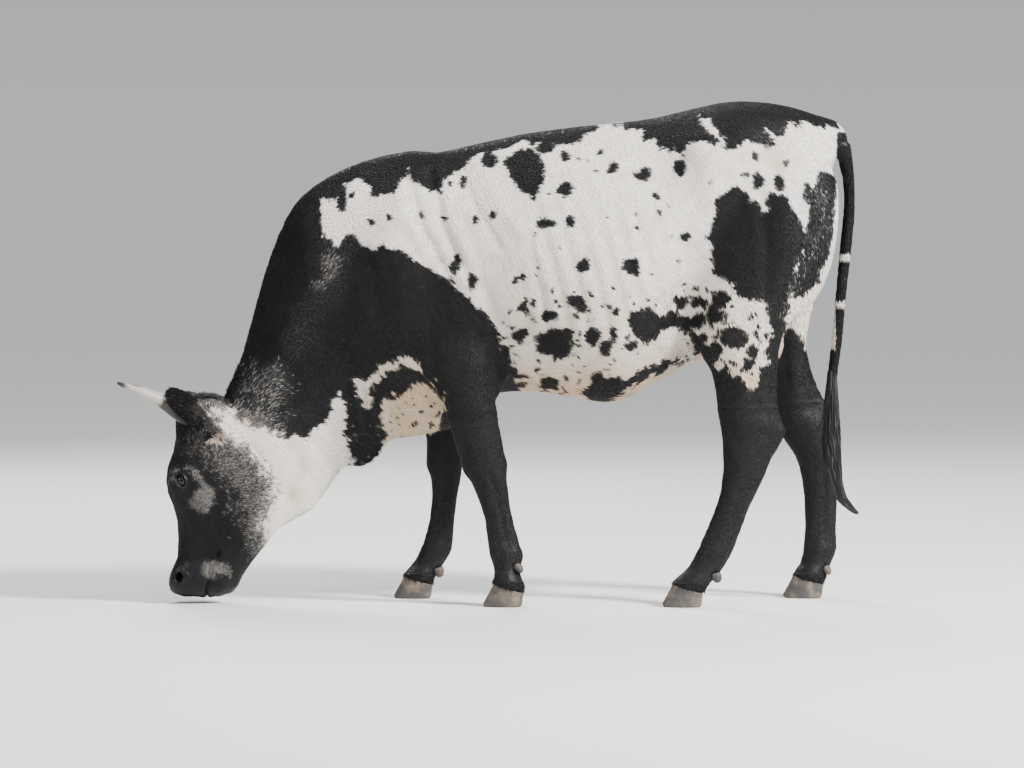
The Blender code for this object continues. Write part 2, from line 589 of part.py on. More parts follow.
def body_cuts():
    """The thin plates that part the body."""
    cuts = [
        slab("neck_head", (-0.610, 0.0, 0.4495), (0.65, 0, 0.76), 0.25, 0.19),
        slab("neck_chest", (-0.378, 0.0, 0.780), (0.9956, 0, 0.0935), 0.47, 0.30),
        slab("chest_barrel", (0.060, 0.0, 0.930), (1, 0, 0), 0.42, 0.36),
        slab("barrel_rump", (0.503, 0.0, 1.000), (1, 0, 0), 0.42, 0.36),
        slab("rump_tail", (0.969, 0.0, 1.212), (0.22, 0, -1), 0.036, 0.045),
        slab("tail_switch", (0.934, 0.0, 0.618), (0.05, 0, 1), 0.030, 0.030),
    ]
    for leg in LEGS:
        for height, reach in zip(leg.cuts, (0.045, 0.03, 0.03)):
            point, along, half_depth = leg_middle(leg, height)
            half_width = 0.066 if height == leg.cuts[0] else 0.055
            cuts.append(slab("cut", point, along, half_depth + reach, half_width))
        point, up = coronet_plane(leg)
        cuts.append(slab("cut", point, up, 0.09, 0.06))
    return cuts


def eye(side, grow=0.0, radius=EYE_RADIUS):
    x, y, z = EYE_CENTRE
    bm = bmesh.new()
    place = Matrix.Translation(HEAD_TURN @ Vector((x, side * y, z)))
    bmesh.ops.create_icosphere(bm, subdivisions=2, radius=radius + grow, matrix=place)
    return object_of(bm, "eye")


def eye_opening(side, sides=18):
    """The almond between the lids, as a cutter from the middle of the eye outwards."""
    x, y, z = EYE_CENTRE
    long_way = Vector((-0.42, 0, 0.91))  # from the inner corner up to the outer one
    short_way = Vector((0.91, 0, 0.42))
    half_length, half_height = EYE_OPENING
    rings = []
    for out, share in ((0.004, 1.0), (0.017, 1.0), (0.040, 1.25)):
        centre = Vector((x, side * (y + out), z))
        ring = []
        for k in range(sides):
            angle = tau * k / sides
            # pointed at both corners
            height = half_height * sin(angle) * abs(sin(angle)) ** 0.25
            spread = (long_way * half_length * cos(angle) + short_way * height) * share
            ring.append(HEAD_TURN @ (centre + spread))
        rings.append(ring)
    bm = bmesh.new()
    skin_rings(bm, rings)
    return object_of(bm, "opening")


def nostril_cutters(side):
    """The hole of a nostril and the slit that curls up from it."""
    hole = (
        ((-0.872, 0.088, 0.056), 0.012),
        ((-0.856, 0.064, 0.068), 0.0115),
        ((-0.842, 0.044, 0.088), 0.0100),
        ((-0.832, 0.034, 0.112), 0.0050),
    )
    slit = (
        ((-0.855, 0.075, 0.078), 0.0050),
        ((-0.838, 0.070, 0.090), 0.0050),
        ((-0.820, 0.072, 0.088), 0.0030),
    )
    made = []
    for path, sides in ((hole, 10), (slit, 8)):
        bm = bmesh.new()
        turned = [(HEAD_TURN @ Vector(point), radius) for point, radius in mirrored(path, side)]
        skin_rings(bm, tube_rings(turned, sides, steps=2))
        made.append(object_of(bm, "nostril"))
    return made


def mouth_line():
    """The slit of the closed mouth, from the lips up to its corners."""
    plate = slab("mouth", (-0.7745, 0.0, 0.055), (0.975, 0, -0.22), 0.065, 0.11, thickness=0.0014)
    plate.data.transform(HEAD_TURN)
    return plate


def horn(side, grow=0.0):
    bm = bmesh.new()
    path = [(HEAD_TURN @ Vector(p), radius) for p, radius in mirrored(HORN, side)]
    skin_rings(bm, tube_rings(path, 12, grow, steps=2))
    return object_of(bm, "horn")


def ear(side, grow=0.0, sides=14):
    """A cupped ear: each ring is a curled leaf, thick at the root and thin at the rim."""
    base = Vector((EAR_BASE.x, side * EAR_BASE.y, EAR_BASE.z))
    tip = Vector((EAR_TIP.x, side * EAR_TIP.y, EAR_TIP.z))
    along = (tip - base).normalized()
    facing = Vector((EAR_FACING.x, side * EAR_FACING.y, EAR_FACING.z))
    facing = (facing - along * along.dot(facing)).normalized()
    across = along.cross(facing)
    rows = smooth_rows(list(zip(EAR_HALF_WIDTHS, EAR_CURLS, EAR_THICKNESS)), 2)
    rings = []
    half = sides // 2
    for i, (width, curl, thick) in enumerate(rows):
        level = 1 - (1 - i / (len(rows) - 1)) ** 1.4
        centre = base + along * ((tip - base).length * level - (grow if i == 0 else 0))
        radius = width / max(sin(min(curl, pi / 2)), 0.2)
        ring = []
        for k in range(sides):
            inner = k >= half
            t = (k + 0.5) / half if not inner else (sides - k - 0.5) / half
            angle = (2 * t - 1) * (curl + 1.5 * grow / radius)
            shell = thick / 2 * (1 - 0.55 * abs(2 * t - 1) ** 3) + grow
            reach = radius - shell if inner else radius + shell
            ring.append(
                centre
                + across * reach * sin(angle)
                - facing * (reach * cos(angle) - radius * cos(curl * 0.55))
            )
        rings.append([HEAD_TURN @ point for point in ring])
    bm = bmesh.new()
    skin_rings(bm, rings)
    return object_of(bm, "ear")


def udder(grow=0.0):
    x, y, z = UDDER_CENTRE
    rx, ry, rz = UDDER_RADII
    bm = bmesh.new()
    matrix = Matrix.Translation((x, y, z)) @ Matrix.Diagonal((rx + grow, ry + grow, rz + grow, 1))
    bmesh.ops.create_icosphere(bm, subdivisions=2, radius=1.0, matrix=matrix)
    return object_of(bm, "udder")


def teats():
    """Four short teats under the udder."""
    x, _, z = UDDER_CENTRE
    made = []
    for ahead in (-0.034, 0.030):
        for side in (NEAR, FAR):
            top = (x + ahead, side * 0.036, z - UDDER_RADII[2] + 0.026)
            path = (
                (top, 0.0105),
                ((top[0], top[1] * 1.05, top[2] - 0.028), 0.0095),
                ((top[0], top[1] * 1.08, top[2] - 0.048), 0.0080),
                ((top[0], top[1] * 1.08, top[2] - 0.056), 0.0040),
            )
            bm = bmesh.new()
            skin_rings(bm, tube_rings(path, 8))
            made.append(object_of(bm, "teat"))
    return made


def claw(leg, inner):
    """One half of a hoof: a curved outer wall, a flatter inner one and a flat sole on the ground."""
    toe, heel = leg.sole
    way = -leg.side if inner else leg.side
    out = leg.side * leg.out
    length = heel - toe
    rings = []
    # height, how far the toe and the heel move back, and the share of the full width
    for height, toe_back, heel_back, share in (
        (0.0, 0.003, -0.005, 0.95),
        (0.006, 0.000, -0.001, 1.00),
        (0.035, 0.016, 0.003, 0.97),
        (0.095, 0.048, 0.010, 0.88),
    ):
        front, rear = toe + toe_back, heel + heel_back
        ring = []
        for k in range(16):
            angle = tau * k / 16
            x = (front + rear) / 2 - (rear - front) / 2 * cos(angle)
            width = CLAW_HALF_WIDTH * share * sin(angle)
            outer = sin(angle) > 0
            # narrow at the toe, and nearly flat on the side of the cleft
            taper = 0.80 + 0.20 * min(1.0, (x - front) / (0.45 * length))
            width *= taper * (1.0 if outer else 0.86)
            lean = 0.004 * (1 - (x - front) / length)
            ring.append(Vector((x, out + way * (CLAW_SPREAD - 0.0008 + width - lean), height)))
        rings.append(ring)
    bm = bmesh.new()
    skin_rings(bm, rings)
    point, up = coronet_plane(leg)
    geometry = bm.verts[:] + bm.edges[:] + bm.faces[:]
    cut = bmesh.ops.bisect_plane(bm, geom=geometry, plane_co=point - up * GAP, plane_no=up, clear_outer=True)
    edges = [item for item in cut["geom_cut"] if isinstance(item, bmesh.types.BMEdge)]
    bmesh.ops.edgeloop_fill(bm, edges=edges)
    return object_of(bm, "claw")


def dewclaw(leg, inner, grow=0.0):
    """A small blunt claw behind the fetlock."""
    point, along, half_depth = leg_middle(leg, leg.cuts[2] - 0.024)
    back = Vector((1, 0, 0)) if along.x == 0 else Vector((-along.z, 0, along.x)).normalized()
    if back.x < 0:
        back.negate()
    down = along if along.z < 0 else -along
    way = Vector((0, -leg.side if inner else leg.side, 0))
    root = point + back * (half_depth - 0.017) + way * 0.017
    tip = root + back * DEWCLAW_LENGTH + down * 0.018 + way * 0.004
    path = [(root.lerp(tip, t), radius) for t, radius in DEWCLAW_SHAPE]
    bm = bmesh.new()
    skin_rings(bm, tube_rings(path, 8, grow, flatten=0.8))
    return object_of(bm, "dewclaw")


DEWCLAW_SHAPE = ((0.0, 0.0125), (0.35, 0.0145), (0.75, 0.0125), (1.0, 0.0060))

# The long hair at the end of the tail: the middle line of its mass, which flicks to the rear, with the reach
# of its locks there
SWITCH = (
    ((0.9330, 0.0, 0.610), 0.0160),
    ((0.9315, 0.0, 0.560), 0.0200),
    ((0.9310, 0.0, 0.500), 0.0255),
    ((0.9310, 0.0, 0.440), 0.0285),
    ((0.9350, 0.0, 0.380), 0.0260),
    ((0.9440, 0.0, 0.325), 0.0195),
    ((0.9620, 0.0, 0.283), 0.0135),
    ((0.9900, 0.0, 0.254), 0.0080),
    ((1.0120, 0.0, 0.238), 0.0030),
)
SWITCH_STEPS = 6
CORE_POINTS, CORE_SHARE = 6, 0.5  # the core reaches half way out, and stops before the flick
# Each tier of locks: where its roots and its tips lie, as shares of the way down, and how many there are
LOCK_TIERS = ((0.06, 0.45, 5), (0.20, 0.60, 6), (0.36, 0.80, 5), (0.50, 1.00, 4))
LOCK_LEVELS = 5
LOCK_HALF_WIDTHS = (0.0090, 0.0120)
LOCK_THICKNESS, LOCK_TIP = 0.0032, 0.0005
SWITCH_SEED = 12


def switch_place(share):
    """The middle of the switch at a share of the way down, the way out to the rear, and the reach there."""
    rows = smooth_rows([(*point, reach) for point, reach in SWITCH], SWITCH_STEPS)
    place = min(share, 1.0) * (len(rows) - 1)
    i = min(int(place), len(rows) - 2)
    row = rows[i] + (rows[i + 1] - rows[i]) * (place - i)
    ahead = Vector(rows[i + 1][:3] - rows[i][:3]).normalized()
    return Vector(row[:3]), Vector((0, 1, 0)).cross(ahead), row[3]


def lock(draw, root, tip, turn):
    """A flat tapered lock, rooted in the core, that lies along the switch from one level to another."""
    half_width = draw.uniform(*LOCK_HALF_WIDTHS)
    drift = draw.uniform(-0.4, 0.4)
    lift = draw.uniform(0.78, 1.0)
    rings = []
    for level in range(LOCK_LEVELS + 1):
        t = level / LOCK_LEVELS
        centre, rear, reach = switch_place(root + (tip - root) * t)
        side = Vector((0, 1, 0))
        angle = turn + drift * t
        way = rear * cos(angle) + side * sin(angle)
        flat = side * cos(angle) - rear * sin(angle)
        middle = centre + way * reach * (0.25 + (lift - 0.25) * sin(pi / 2 * min(1.0, 1.8 * t)))
        half = half_width * (0.75 + 0.45 * sin(pi * t)) * sqrt(1 - t) + LOCK_TIP
        thick = LOCK_THICKNESS * (1 - 0.8 * t) + LOCK_TIP
        edge = middle - way * thick * 0.7
        rings.append([edge + flat * half, middle + way * thick, edge - flat * half, middle - way * thick])
    bm = bmesh.new()
    skin_rings(bm, rings)
    return object_of(bm, "lock")


def switch_core():
    """The close hair under the locks."""
    bm = bmesh.new()
    path = [(point, reach * CORE_SHARE) for point, reach in SWITCH[:CORE_POINTS]]
    skin_rings(bm, tube_rings(path, 10))
    return object_of(bm, "core")


def add_switch(tail_end):
    """Covers the end of the tail with its long hair, in tiers of locks."""
    draw = random.Random(SWITCH_SEED)
    made = [switch_core()]
    for tier, (root, tip, count) in enumerate(LOCK_TIERS):
        for k in range(count):
            turn = tau * (k + 0.5 * (tier % 2)) / count + draw.uniform(-0.2, 0.2)
            made.append(lock(draw, root, tip - draw.uniform(0.0, 0.09) * (k > 0), turn))
    combine(tail_end, made, "UNION")
    keep_largest(tail_end)


# Names of the pieces, each with a place inside it
def piece_places():
    places = {
        "head": (-0.76, 0.0, 0.30),
        "neck": (-0.48, 0.0, 0.75),
        "chest": (-0.15, 0.0, 0.85),
        "barrel": (0.28, 0.0, 0.93),
        "rump": (0.74, 0.0, 1.00),
        "tail": (0.965, 0.0, 0.92),
        "tail_switch": (0.932, 0.0, 0.55),
    }
    for leg in LEGS:
        tops = (*leg.cuts, leg.coronet)
        for part, top, bottom in zip((leg.upper, "cannon", "pastern"), tops, tops[1:]):
            places[f"{part}_{leg.name}"] = leg_middle(leg, (top + bottom) / 2)[0]
    return places


def part_body(body):
    """Makes an object of each separate body of the cut mass, named by the place it holds."""
    bm = bmesh.new()
    bm.from_mesh(body.data)
    bodies = [face_list for face_list in islands(bm) if sum(f.calc_area() for f in face_list) > 1e-3]
    centres = []
    for faces in bodies:
        area = sum(face.calc_area() for face in faces)
        centres.append(sum((face.calc_center_median() * face.calc_area() for face in faces), Vector()) / area)
    pieces = {}
    for name, place in piece_places().items():
        nearest = min(range(len(bodies)), key=lambda i: (centres[i] - Vector(place)).length)
        piece = bmesh.new()
        copies = {}
        for face in bodies[nearest]:
            for corner in face.verts:
                if corner not in copies:
                    copies[corner] = piece.verts.new(corner.co)
            piece.faces.new([copies[corner] for corner in face.verts])
        pieces[name] = object_of(piece, name)
    bm.free()
    bpy.data.objects.remove(body)
    return pieces


# Finishes
BLACK_HIDE, WHITE_HIDE = (0.022, 0.022, 0.026), (0.74, 0.70, 0.65)
HORN_PALE, HOOF_GREY = (0.62, 0.54, 0.44), (0.17, 0.145, 0.12)
PINK_SKIN, EYE_DARK = (0.58, 0.42, 0.36), (0.012, 0.009, 0.008)
HIDE_ROUGHNESS, HORN_ROUGHNESS, EYE_ROUGHNESS = 0.75, 0.45, 0.05


def finish(obj, colour, roughness):
    """Gives an object its own material."""
    material = bpy.data.materials.new(obj.name)
    material.use_nodes = True
    shader = material.node_tree.nodes["Principled BSDF"]
    shader.inputs["Base Color"].default_value = (*colour, 1.0)
    shader.inputs["Roughness"].default_value = roughness
    shader.inputs["Metallic"].default_value = 0.0
    obj.data.materials.clear()
    obj.data.materials.append(material)
    obj.data.shade_smooth()
    obj.data.set_sharp_from_angle(angle=radians(40))


def centre_on_floor(objects):
    """Moves all pieces so that the middle of their box is over the origin."""
    lows, highs = [], []
    for obj in objects:
        points, _ = arrays(obj.data)
        lows.append(points.min(axis=0))
        highs.append(points.max(axis=0))
    low, high = np.min(lows, axis=0), np.max(highs, axis=0)
    shift = Matrix.Translation((-(low[0] + high[0]) / 2, -(low[1] + high[1]) / 2, -low[2]))
    for obj in objects:
        obj.data.transform(shift)


def main():
    for obj in list(bpy.data.objects):
        bpy.data.objects.remove(obj)
    body = modelled_body()
    combine(body, [eye(side, radius=EYE_RADIUS + LID_THICKNESS) for side in (NEAR, FAR)], "UNION")
    cutters = body_cuts() + [mouth_line(), udder(grow=GAP)]
    for side in (NEAR, FAR):
        cutters += [eye(side, grow=GAP), eye_opening(side), horn(side, GAP), ear(side, GAP)]
        cutters += nostril_cutters(side)
    for leg in LEGS:
        cutters += [dewclaw(leg, inner, grow=GAP) for inner in (False, True)]
    combine(body, cutters, "DIFFERENCE")
    pieces = part_body(body)
    for piece in pieces.values():
        keep_largest(piece)
    add_switch(pieces["tail_switch"])
    black = {"head", "neck", "tail", "tail_switch"}
    for name, piece in pieces.items():
        dark = name in black or "_fore_" in name or "_hind_" in name
        finish(piece, BLACK_HIDE if dark else WHITE_HIDE, HIDE_ROUGHNESS)
    made = list(pieces.values())
    for side, word in ((NEAR, "left"), (FAR, "right")):
        for part, colour, roughness, name in (
            (eye(side), EYE_DARK, EYE_ROUGHNESS, "eye"),
            (horn(side), HORN_PALE, HORN_ROUGHNESS, "horn"),
            (ear(side), BLACK_HIDE, HIDE_ROUGHNESS, "ear"),
        ):
            part.name = f"{name}_{word}"
            finish(part, colour, roughness)
            made.append(part)
    bag = udder()
    combine(bag, teats(), "UNION")
    bag.name = "udder"
    finish(bag, PINK_SKIN, HIDE_ROUGHNESS)
    made.append(bag)
    for leg in LEGS:
        for inner, word in ((False, "outer"), (True, "inner")):
            for part, name in ((claw(leg, inner), "claw"), (dewclaw(leg, inner), "dewclaw")):
                part.name = f"{name}_{leg.name}_{word}"
                finish(part, HOOF_GREY, HORN_ROUGHNESS)
                made.append(part)
    centre_on_floor(made)


main()
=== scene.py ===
"""A grazing nguni cow for a museum: its hide, coat, eyes, horns and hooves, dressed over the solid model.

Lengths are in metres. The cow faces -X and its left side faces -Y, the side that the camera sees.
"""

import json
import logging
import math
from dataclasses import dataclass
from enum import Enum
from typing import Callable, Sequence

import bpy
import numpy as np
from mathutils import Matrix, Vector

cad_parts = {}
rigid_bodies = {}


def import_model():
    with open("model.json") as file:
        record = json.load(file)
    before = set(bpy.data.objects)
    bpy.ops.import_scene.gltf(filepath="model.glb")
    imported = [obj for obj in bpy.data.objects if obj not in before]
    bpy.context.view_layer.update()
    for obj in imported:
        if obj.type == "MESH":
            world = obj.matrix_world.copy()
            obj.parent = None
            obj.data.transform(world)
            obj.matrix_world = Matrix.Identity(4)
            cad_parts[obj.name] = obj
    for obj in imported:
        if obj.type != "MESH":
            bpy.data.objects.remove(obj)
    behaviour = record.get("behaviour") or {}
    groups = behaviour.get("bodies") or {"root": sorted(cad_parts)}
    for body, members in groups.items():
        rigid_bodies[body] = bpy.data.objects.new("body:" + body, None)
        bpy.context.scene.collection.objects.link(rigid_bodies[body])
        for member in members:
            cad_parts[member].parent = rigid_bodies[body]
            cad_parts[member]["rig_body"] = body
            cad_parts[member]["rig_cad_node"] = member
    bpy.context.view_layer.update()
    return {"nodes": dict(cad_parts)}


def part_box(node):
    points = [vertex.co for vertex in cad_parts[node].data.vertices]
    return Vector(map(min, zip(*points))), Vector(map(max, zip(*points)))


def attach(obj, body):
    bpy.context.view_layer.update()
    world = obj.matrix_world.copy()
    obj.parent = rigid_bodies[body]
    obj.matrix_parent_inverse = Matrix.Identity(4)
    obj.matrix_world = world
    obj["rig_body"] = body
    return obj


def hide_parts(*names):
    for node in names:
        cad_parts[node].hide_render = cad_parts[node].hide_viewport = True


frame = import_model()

logging.basicConfig(level=logging.INFO, format="%(message)s")
LOG = logging.getLogger("nguni")

Array = np.ndarray
Piece = bpy.types.Object
Triple = tuple[float, float, float]
Colour = tuple[float, float, float, float]
Outline = tuple[tuple[float, float], ...]
Values = dict[str, Array]
"""What a material reads, one number a point or a tuft under each name."""

BODY = "root"
UV_NAME = "OFBake"
UV_START, UV_SPAN, UV_PATCH = 0.01, 0.97, 0.003
"""Where a baking map starts, how far it goes, and the size of one tuft's share of it."""
SQUARE_MM = 1e-6
MERGE_DISTANCE = 0.00001
SIDEWAYS = np.array((0.0, 1.0, 0.0))

# Where the photograph was taken from
CAMERA_PLACE = Vector((0.058, -13.0, 1.10))
CAMERA_TARGET = Vector((0.058, 0.0, 0.60))
LENS_MM, SENSOR_MM = 166.4, 36.0

# The head is turned about the poll, as in the solids
HEAD_PIVOT = Vector((-0.70, 0.0, 0.50))
HEAD_ROLL, HEAD_YAW = math.radians(-3.6), math.radians(-2.0)
EYE_IN_HEAD = Vector((-0.845, -0.0955, 0.334))
"""The left eye's middle in the upright head, which tells where the frame's origin lies."""
EYE_LONG_WAY = np.array((-0.42, 0.0, 0.91))
EYE_SHORT_WAY = np.array((0.91, 0.0, 0.42))
"""From the upper lid to the lower, in the upright head as the long way is."""


class Side(Enum):
    """The two sides of the cow, by the sign of Y."""

    NEAR = -1.0
    FAR = 1.0

    @property
    def word(self) -> str:
        """The side's name in the frame's nodes."""
        return "left" if self is Side.NEAR else "right"


class Tone(Enum):
    """What a patch of the coat does to the colour under it."""

    BLACK = "black"
    WHITE = "white"
    ROAN = "roan"


class Foot(Enum):
    """The four feet, by the frame's names."""

    FORE_LEFT = "fore_left"
    FORE_RIGHT = "fore_right"
    HIND_LEFT = "hind_left"
    HIND_RIGHT = "hind_right"


# Markings of the left side in centimetres: X along the cow and height, as the camera sees the middle plane
FORE = (
    (-47, 141), (-47, 102.2), (-43.4, 97.8), (-39, 101.6), (-33.5, 96.2), (-29.9, 98.4), (-23.4, 95.6),
    (-19, 92.3), (-13.2, 90.1), (-8.8, 85.4), (-4.9, 81.6), (-0.3, 78.3), (1.4, 74.7), (3.6, 67),
    (6.9, 63.5), (12, -10), (-108, -10), (-108, 70), (-66, 141),
)
BACK = (
    (-52.5, 150), (-52.5, 110.7), (-40.1, 111), (-28.3, 111.8), (-25.5, 114.6), (-23.4, 118.4),
    (-21.2, 115.7), (-16.5, 112.9), (-13.7, 111.8), (-13.2, 116.2), (-9.9, 118.7), (-3, 123.9), (5.2, 124.7),
    (8, 126.4), (11, 125.5), (22.5, 125.8), (26.6, 128.8), (29.7, 130.8), (35.2, 130.8), (40.9, 129.4),
    (41.5, 126.4), (44.5, 127.5), (45.9, 123.9), (50, 123.9), (52.2, 121.7), (54.7, 126.4), (61.8, 125.8),
    (66.5, 123.9), (68.4, 126.4), (75.5, 125.5), (77.7, 125.8), (75.3, 129.7), (79.7, 128), (82.1, 131.9),
    (95.3, 130), (95.3, 150),
)
HIND = (
    (58.4, 71.5), (60.6, 68.6), (61.8, 64.2), (64.3, 66), (66, 61.6), (68.4, 62.8), (70.4, 57.2),
    (72.6, 59.4), (73.8, 64.8), (75.6, 66.4), (76.1, 75), (76.6, 86.5), (81.6, 86.5), (81, 72.8),
    (86.5, 73.4), (88.2, 69), (98.6, 69), (104, -10), (35.4, -10), (46.4, 36.5), (56, 55.8),
)
THIGH = (
    (60.7, 110.4), (62.4, 112.1), (67.3, 114.6), (69.5, 112.1), (73.1, 110.4), (73.9, 107.4), (76.4, 108),
    (75, 110.4), (76.1, 112.6), (81.6, 111.5), (82.7, 108), (85.2, 103.3), (85.7, 97.3), (83.2, 91.2),
    (81.6, 86.5), (78.6, 81.9), (72, 83), (67.9, 84.1), (65.9, 87.6), (60.7, 90.1), (59.3, 99.7),
    (60.7, 105.5),
)
BUTTOCK = (
    (94.6, 117.4), (89.6, 118.8), (87.6, 113.5), (86.3, 104.9), (85.2, 96.2), (82.1, 87.1), (82.7, 83.5),
    (85.2, 83), (89.6, 88.2), (92.7, 97.3), (94.4, 110.4),
)
BELLY_BAND = (
    (37.4, 78.5), (39.3, 80.4), (41.6, 81.3), (44, 79.9), (45.9, 78.8), (48.7, 79.9), (51.5, 79.7),
    (53.8, 78.2), (55.2, 76.1), (54.8, 74.1), (52.9, 73.1), (51, 75.2), (48.2, 75.2), (46.3, 74.7),
    (45.4, 72.4), (42.6, 71), (40.2, 72.4), (38.1, 73.8), (37.1, 76.1),
)
BACK_SPOT = (
    (5.7, 124.1), (10.8, 124.5), (13.5, 121.3), (14.4, 118.1), (13.5, 113.6), (11.7, 110.4), (8.5, 112.2),
    (5.3, 114.5), (4.4, 118.1), (3, 121.3),
)
BUTTOCK_ROAN = (
    (88.6, 115.6), (93.3, 112.8), (94.2, 107.1), (92.3, 99.6), (87.6, 90.2), (82, 82.7), (79.2, 77.1),
    (78.2, 80.8), (82.9, 90.2), (87.6, 100.5), (88.6, 108.1),
)
SHOULDER_ROAN = ((-47.1, 93.6), (-43.5, 97.2), (-41.6, 95.4), (-44.4, 89.9), (-47.6, 85.4), (-49.4, 87.2))
BELLY_PATCH = (
    (23.6, 57.4), (27.2, 60.2), (31.6, 62.4), (36, 61.3), (40.9, 63.7), (47.5, 66.5), (52.2, 67.3),
    (50.8, 65.1), (44.2, 62.4), (39.3, 59.6), (36, 56.9), (31, 55.2), (27.2, 54.7),
)
THROAT = (
    (-76.9, 53.3), (-73.4, 53), (-69, 49.7), (-61.3, 47.3), (-53, 44), (-48.1, 48.1), (-44.8, 50.8),
    (-42, 56.9), (-40.9, 47.5), (-39, 34), (-42.5, 24), (-51, 14), (-58.4, 9), (-62.9, 18.9), (-61.8, 25.5),
    (-59.6, 31), (-61.3, 36), (-65.7, 41.5), (-71.2, 44.8), (-73.9, 48.6),
)
NECK_ROAN = (
    (-67.3, 63.5), (-62.9, 65.1), (-57.4, 64), (-55.2, 59.6), (-56.9, 54.7), (-60.2, 49.2), (-66.2, 49.2),
    (-69, 51.9),
)
CHEEK_ROAN = (
    (-82.7, 44.8), (-73.9, 45.9), (-66.2, 41.5), (-60.2, 34.9), (-59.1, 28.8), (-61.8, 21.7), (-64.6, 17.3),
    (-70.1, 22.8), (-72.8, 33.8), (-78.3, 38.7),
)
EYE_ROAN = (
    (-88.8, 33), (-88.2, 35.6), (-86.2, 37.4), (-83.6, 37.6), (-81.4, 36.6), (-79.6, 34), (-77.2, 30.8),
    (-76.4, 27.2), (-78.2, 25), (-81, 25), (-82.6, 27), (-82.2, 29.4), (-81, 31.6), (-81.4, 34), (-83, 35.9),
    (-85.2, 36.3), (-87.2, 35.2), (-88, 33),
)
NOSE_ROAN = (
    (-86.5, 8.5), (-83.8, 10.2), (-79.9, 9.6), (-76.6, 11.3), (-72.8, 10.2), (-72.3, 7.4), (-78.8, 7.4),
    (-85.4, 6.3),
)
CHEST_WHITE = (
    (-30.5, 55.2), (-27.2, 56.9), (-24.5, 56.3), (-22.3, 59.1), (-17.3, 59.9), (-14, 55.8), (-12.9, 52.5),
    (-15.1, 44), (-25, 40), (-28.3, 42), (-29.9, 50.3),
)
CREAM_LINE = (
    (-38.2, 62.9), (-35.4, 61.8), (-32.7, 62.9), (-29.9, 65.1), (-26.1, 66.8), (-22.3, 67.3), (-18.4, 63.5),
    (-25, 65.1), (-28.8, 64), (-32.1, 61.3), (-34.3, 58), (-33.2, 53), (-36, 54.1), (-37.6, 58),
)
NECK_WHITE = ((-40.4, 114.6), (-37.1, 116.2), (-33.5, 114.6), (-34.3, 110.2), (-37.1, 106.3), (-40.4, 108))
BACK_STREAK = ((56.6, 133.5), (59.6, 132.4), (62.9, 127.7), (63.2, 125.5), (60.7, 127.2), (58.2, 130.5))

# Spots of the left side, in centimetres: X, height, width, height of the spot, and its tilt in degrees
SPOTS = (
    (-0.8, 121.3, 4.2, 3.8, 0), (14.3, 124.7, 5.5, 2.7, 0), (-12, 115, 1.2, 1.2, 0),
    (19.8, 122.3, 2.2, 2.2, 0), (-7.7, 115.7, 2.2, 3.3, 0), (-33.5, 104.1, 1.6, 1.6, 0),
    (-28.3, 105.8, 1.4, 1.4, 0), (-4.4, 105.2, 2.2, 2.2, 0), (0, 106.3, 1.9, 1.9, 0),
    (14.8, 104.1, 6, 2.7, 0), (19.8, 113.7, 4.4, 3.8, 0), (21.4, 104.7, 2.5, 2.5, 0),
    (-10.2, 92.9, 2.7, 5.5, -35), (-5.5, 88.2, 2.2, 3.8, 0), (24.5, 92.3, 3.3, 3.8, 0),
    (5.8, 88.7, 1.4, 1.4, 0), (8.2, 89, 1.4, 1.4, 0), (8.2, 81.3, 2.7, 4.4, 0), (11.5, 82.1, 1.4, 1.4, 0),
    (15.4, 78.8, 3.3, 3.3, 0), (23.1, 82.1, 7.1, 3, -35), (17, 71.4, 11, 8.2, 0), (7.4, 73.4, 4.9, 3.3, 0),
    (3.6, 68.1, 3.8, 4.9, 0), (15.4, 60.2, 5.5, 3.3, 0), (7.4, 62.1, 4.4, 1.1, 0), (6.9, 59.9, 3.8, 0.8, 0),
    (27.2, 73.1, 3.8, 4.9, 0), (29.4, 123.4, 2.2, 1.6, 0), (33, 119, 3.8, 3.3, 0),
    (41.2, 117.6, 4.9, 2.7, 0), (51.1, 119.5, 3.3, 4.4, 0), (44.8, 111.3, 1.4, 1.4, 0),
    (72.3, 122.5, 1.4, 2.7, 0), (80.5, 121.2, 1.1, 1.6, 0), (72.8, 115.9, 2.7, 3.8, 0),
    (78.6, 115.7, 2.5, 4.4, 0), (70.1, 117.9, 1.4, 1.4, 0), (53, 100.3, 3.3, 2.5, 0),
    (38.2, 92.6, 5.5, 4.9, 0), (30.8, 69.8, 3.3, 3.3, 0), (33.2, 73.4, 2.2, 3.8, 0),
    (37.9, 70.6, 2.5, 2.5, 0), (66.5, 72.8, 7.1, 6, 0), (72, 74.2, 1.6, 1.6, 0), (71.7, 69.2, 3.3, 3.3, 0),
    (70.1, 65.1, 3.3, 3.8, 0), (61.8, 69.8, 2.5, 2.5, 0), (58.2, 72.8, 2.2, 2.2, 0), (29.1, 61, 3.8, 4.4, 0),
    (-41.2, 110.2, 2.6, 6, 0), (-38.4, 111.8, 1.6, 1.8, 0), (-19.8, 106.3, 0.9, 0.9, 0),
    (-13.4, 105.9, 0.9, 0.9, 0), (56.2, 77.1, 4.7, 3.8, 0), (60.9, 79, 4.7, 5.6, 15),
    (62.8, 83.2, 4.4, 4.7, 0), (51.8, 82.5, 4.2, 2.4, 0), (56.7, 82.2, 4.7, 2.4, 0),
    # The long thin spot at 57.1, 69.6, tilted -64, along the front edge of the thigh is partly black hair
    # and partly painted shade of the flank fold.
    (61.5, 68.6, 2.4, 5.6, -10), (57.1, 69.6, 15, 2.6, -64), (27.3, 73.4, 3, 3.4, 0),
    (33.9, 79.9, 1.6, 1.8, 0), (38.2, 70.6, 2.6, 2, 0), (74.6, 62.8, 1.4, 3.6, 10), (76.3, 67, 1, 2.4, 0),
    (86.3, 112.6, 2.5, 5.5, 0), (-62.4, 57.1, 2.6, 2.6, 0),
)


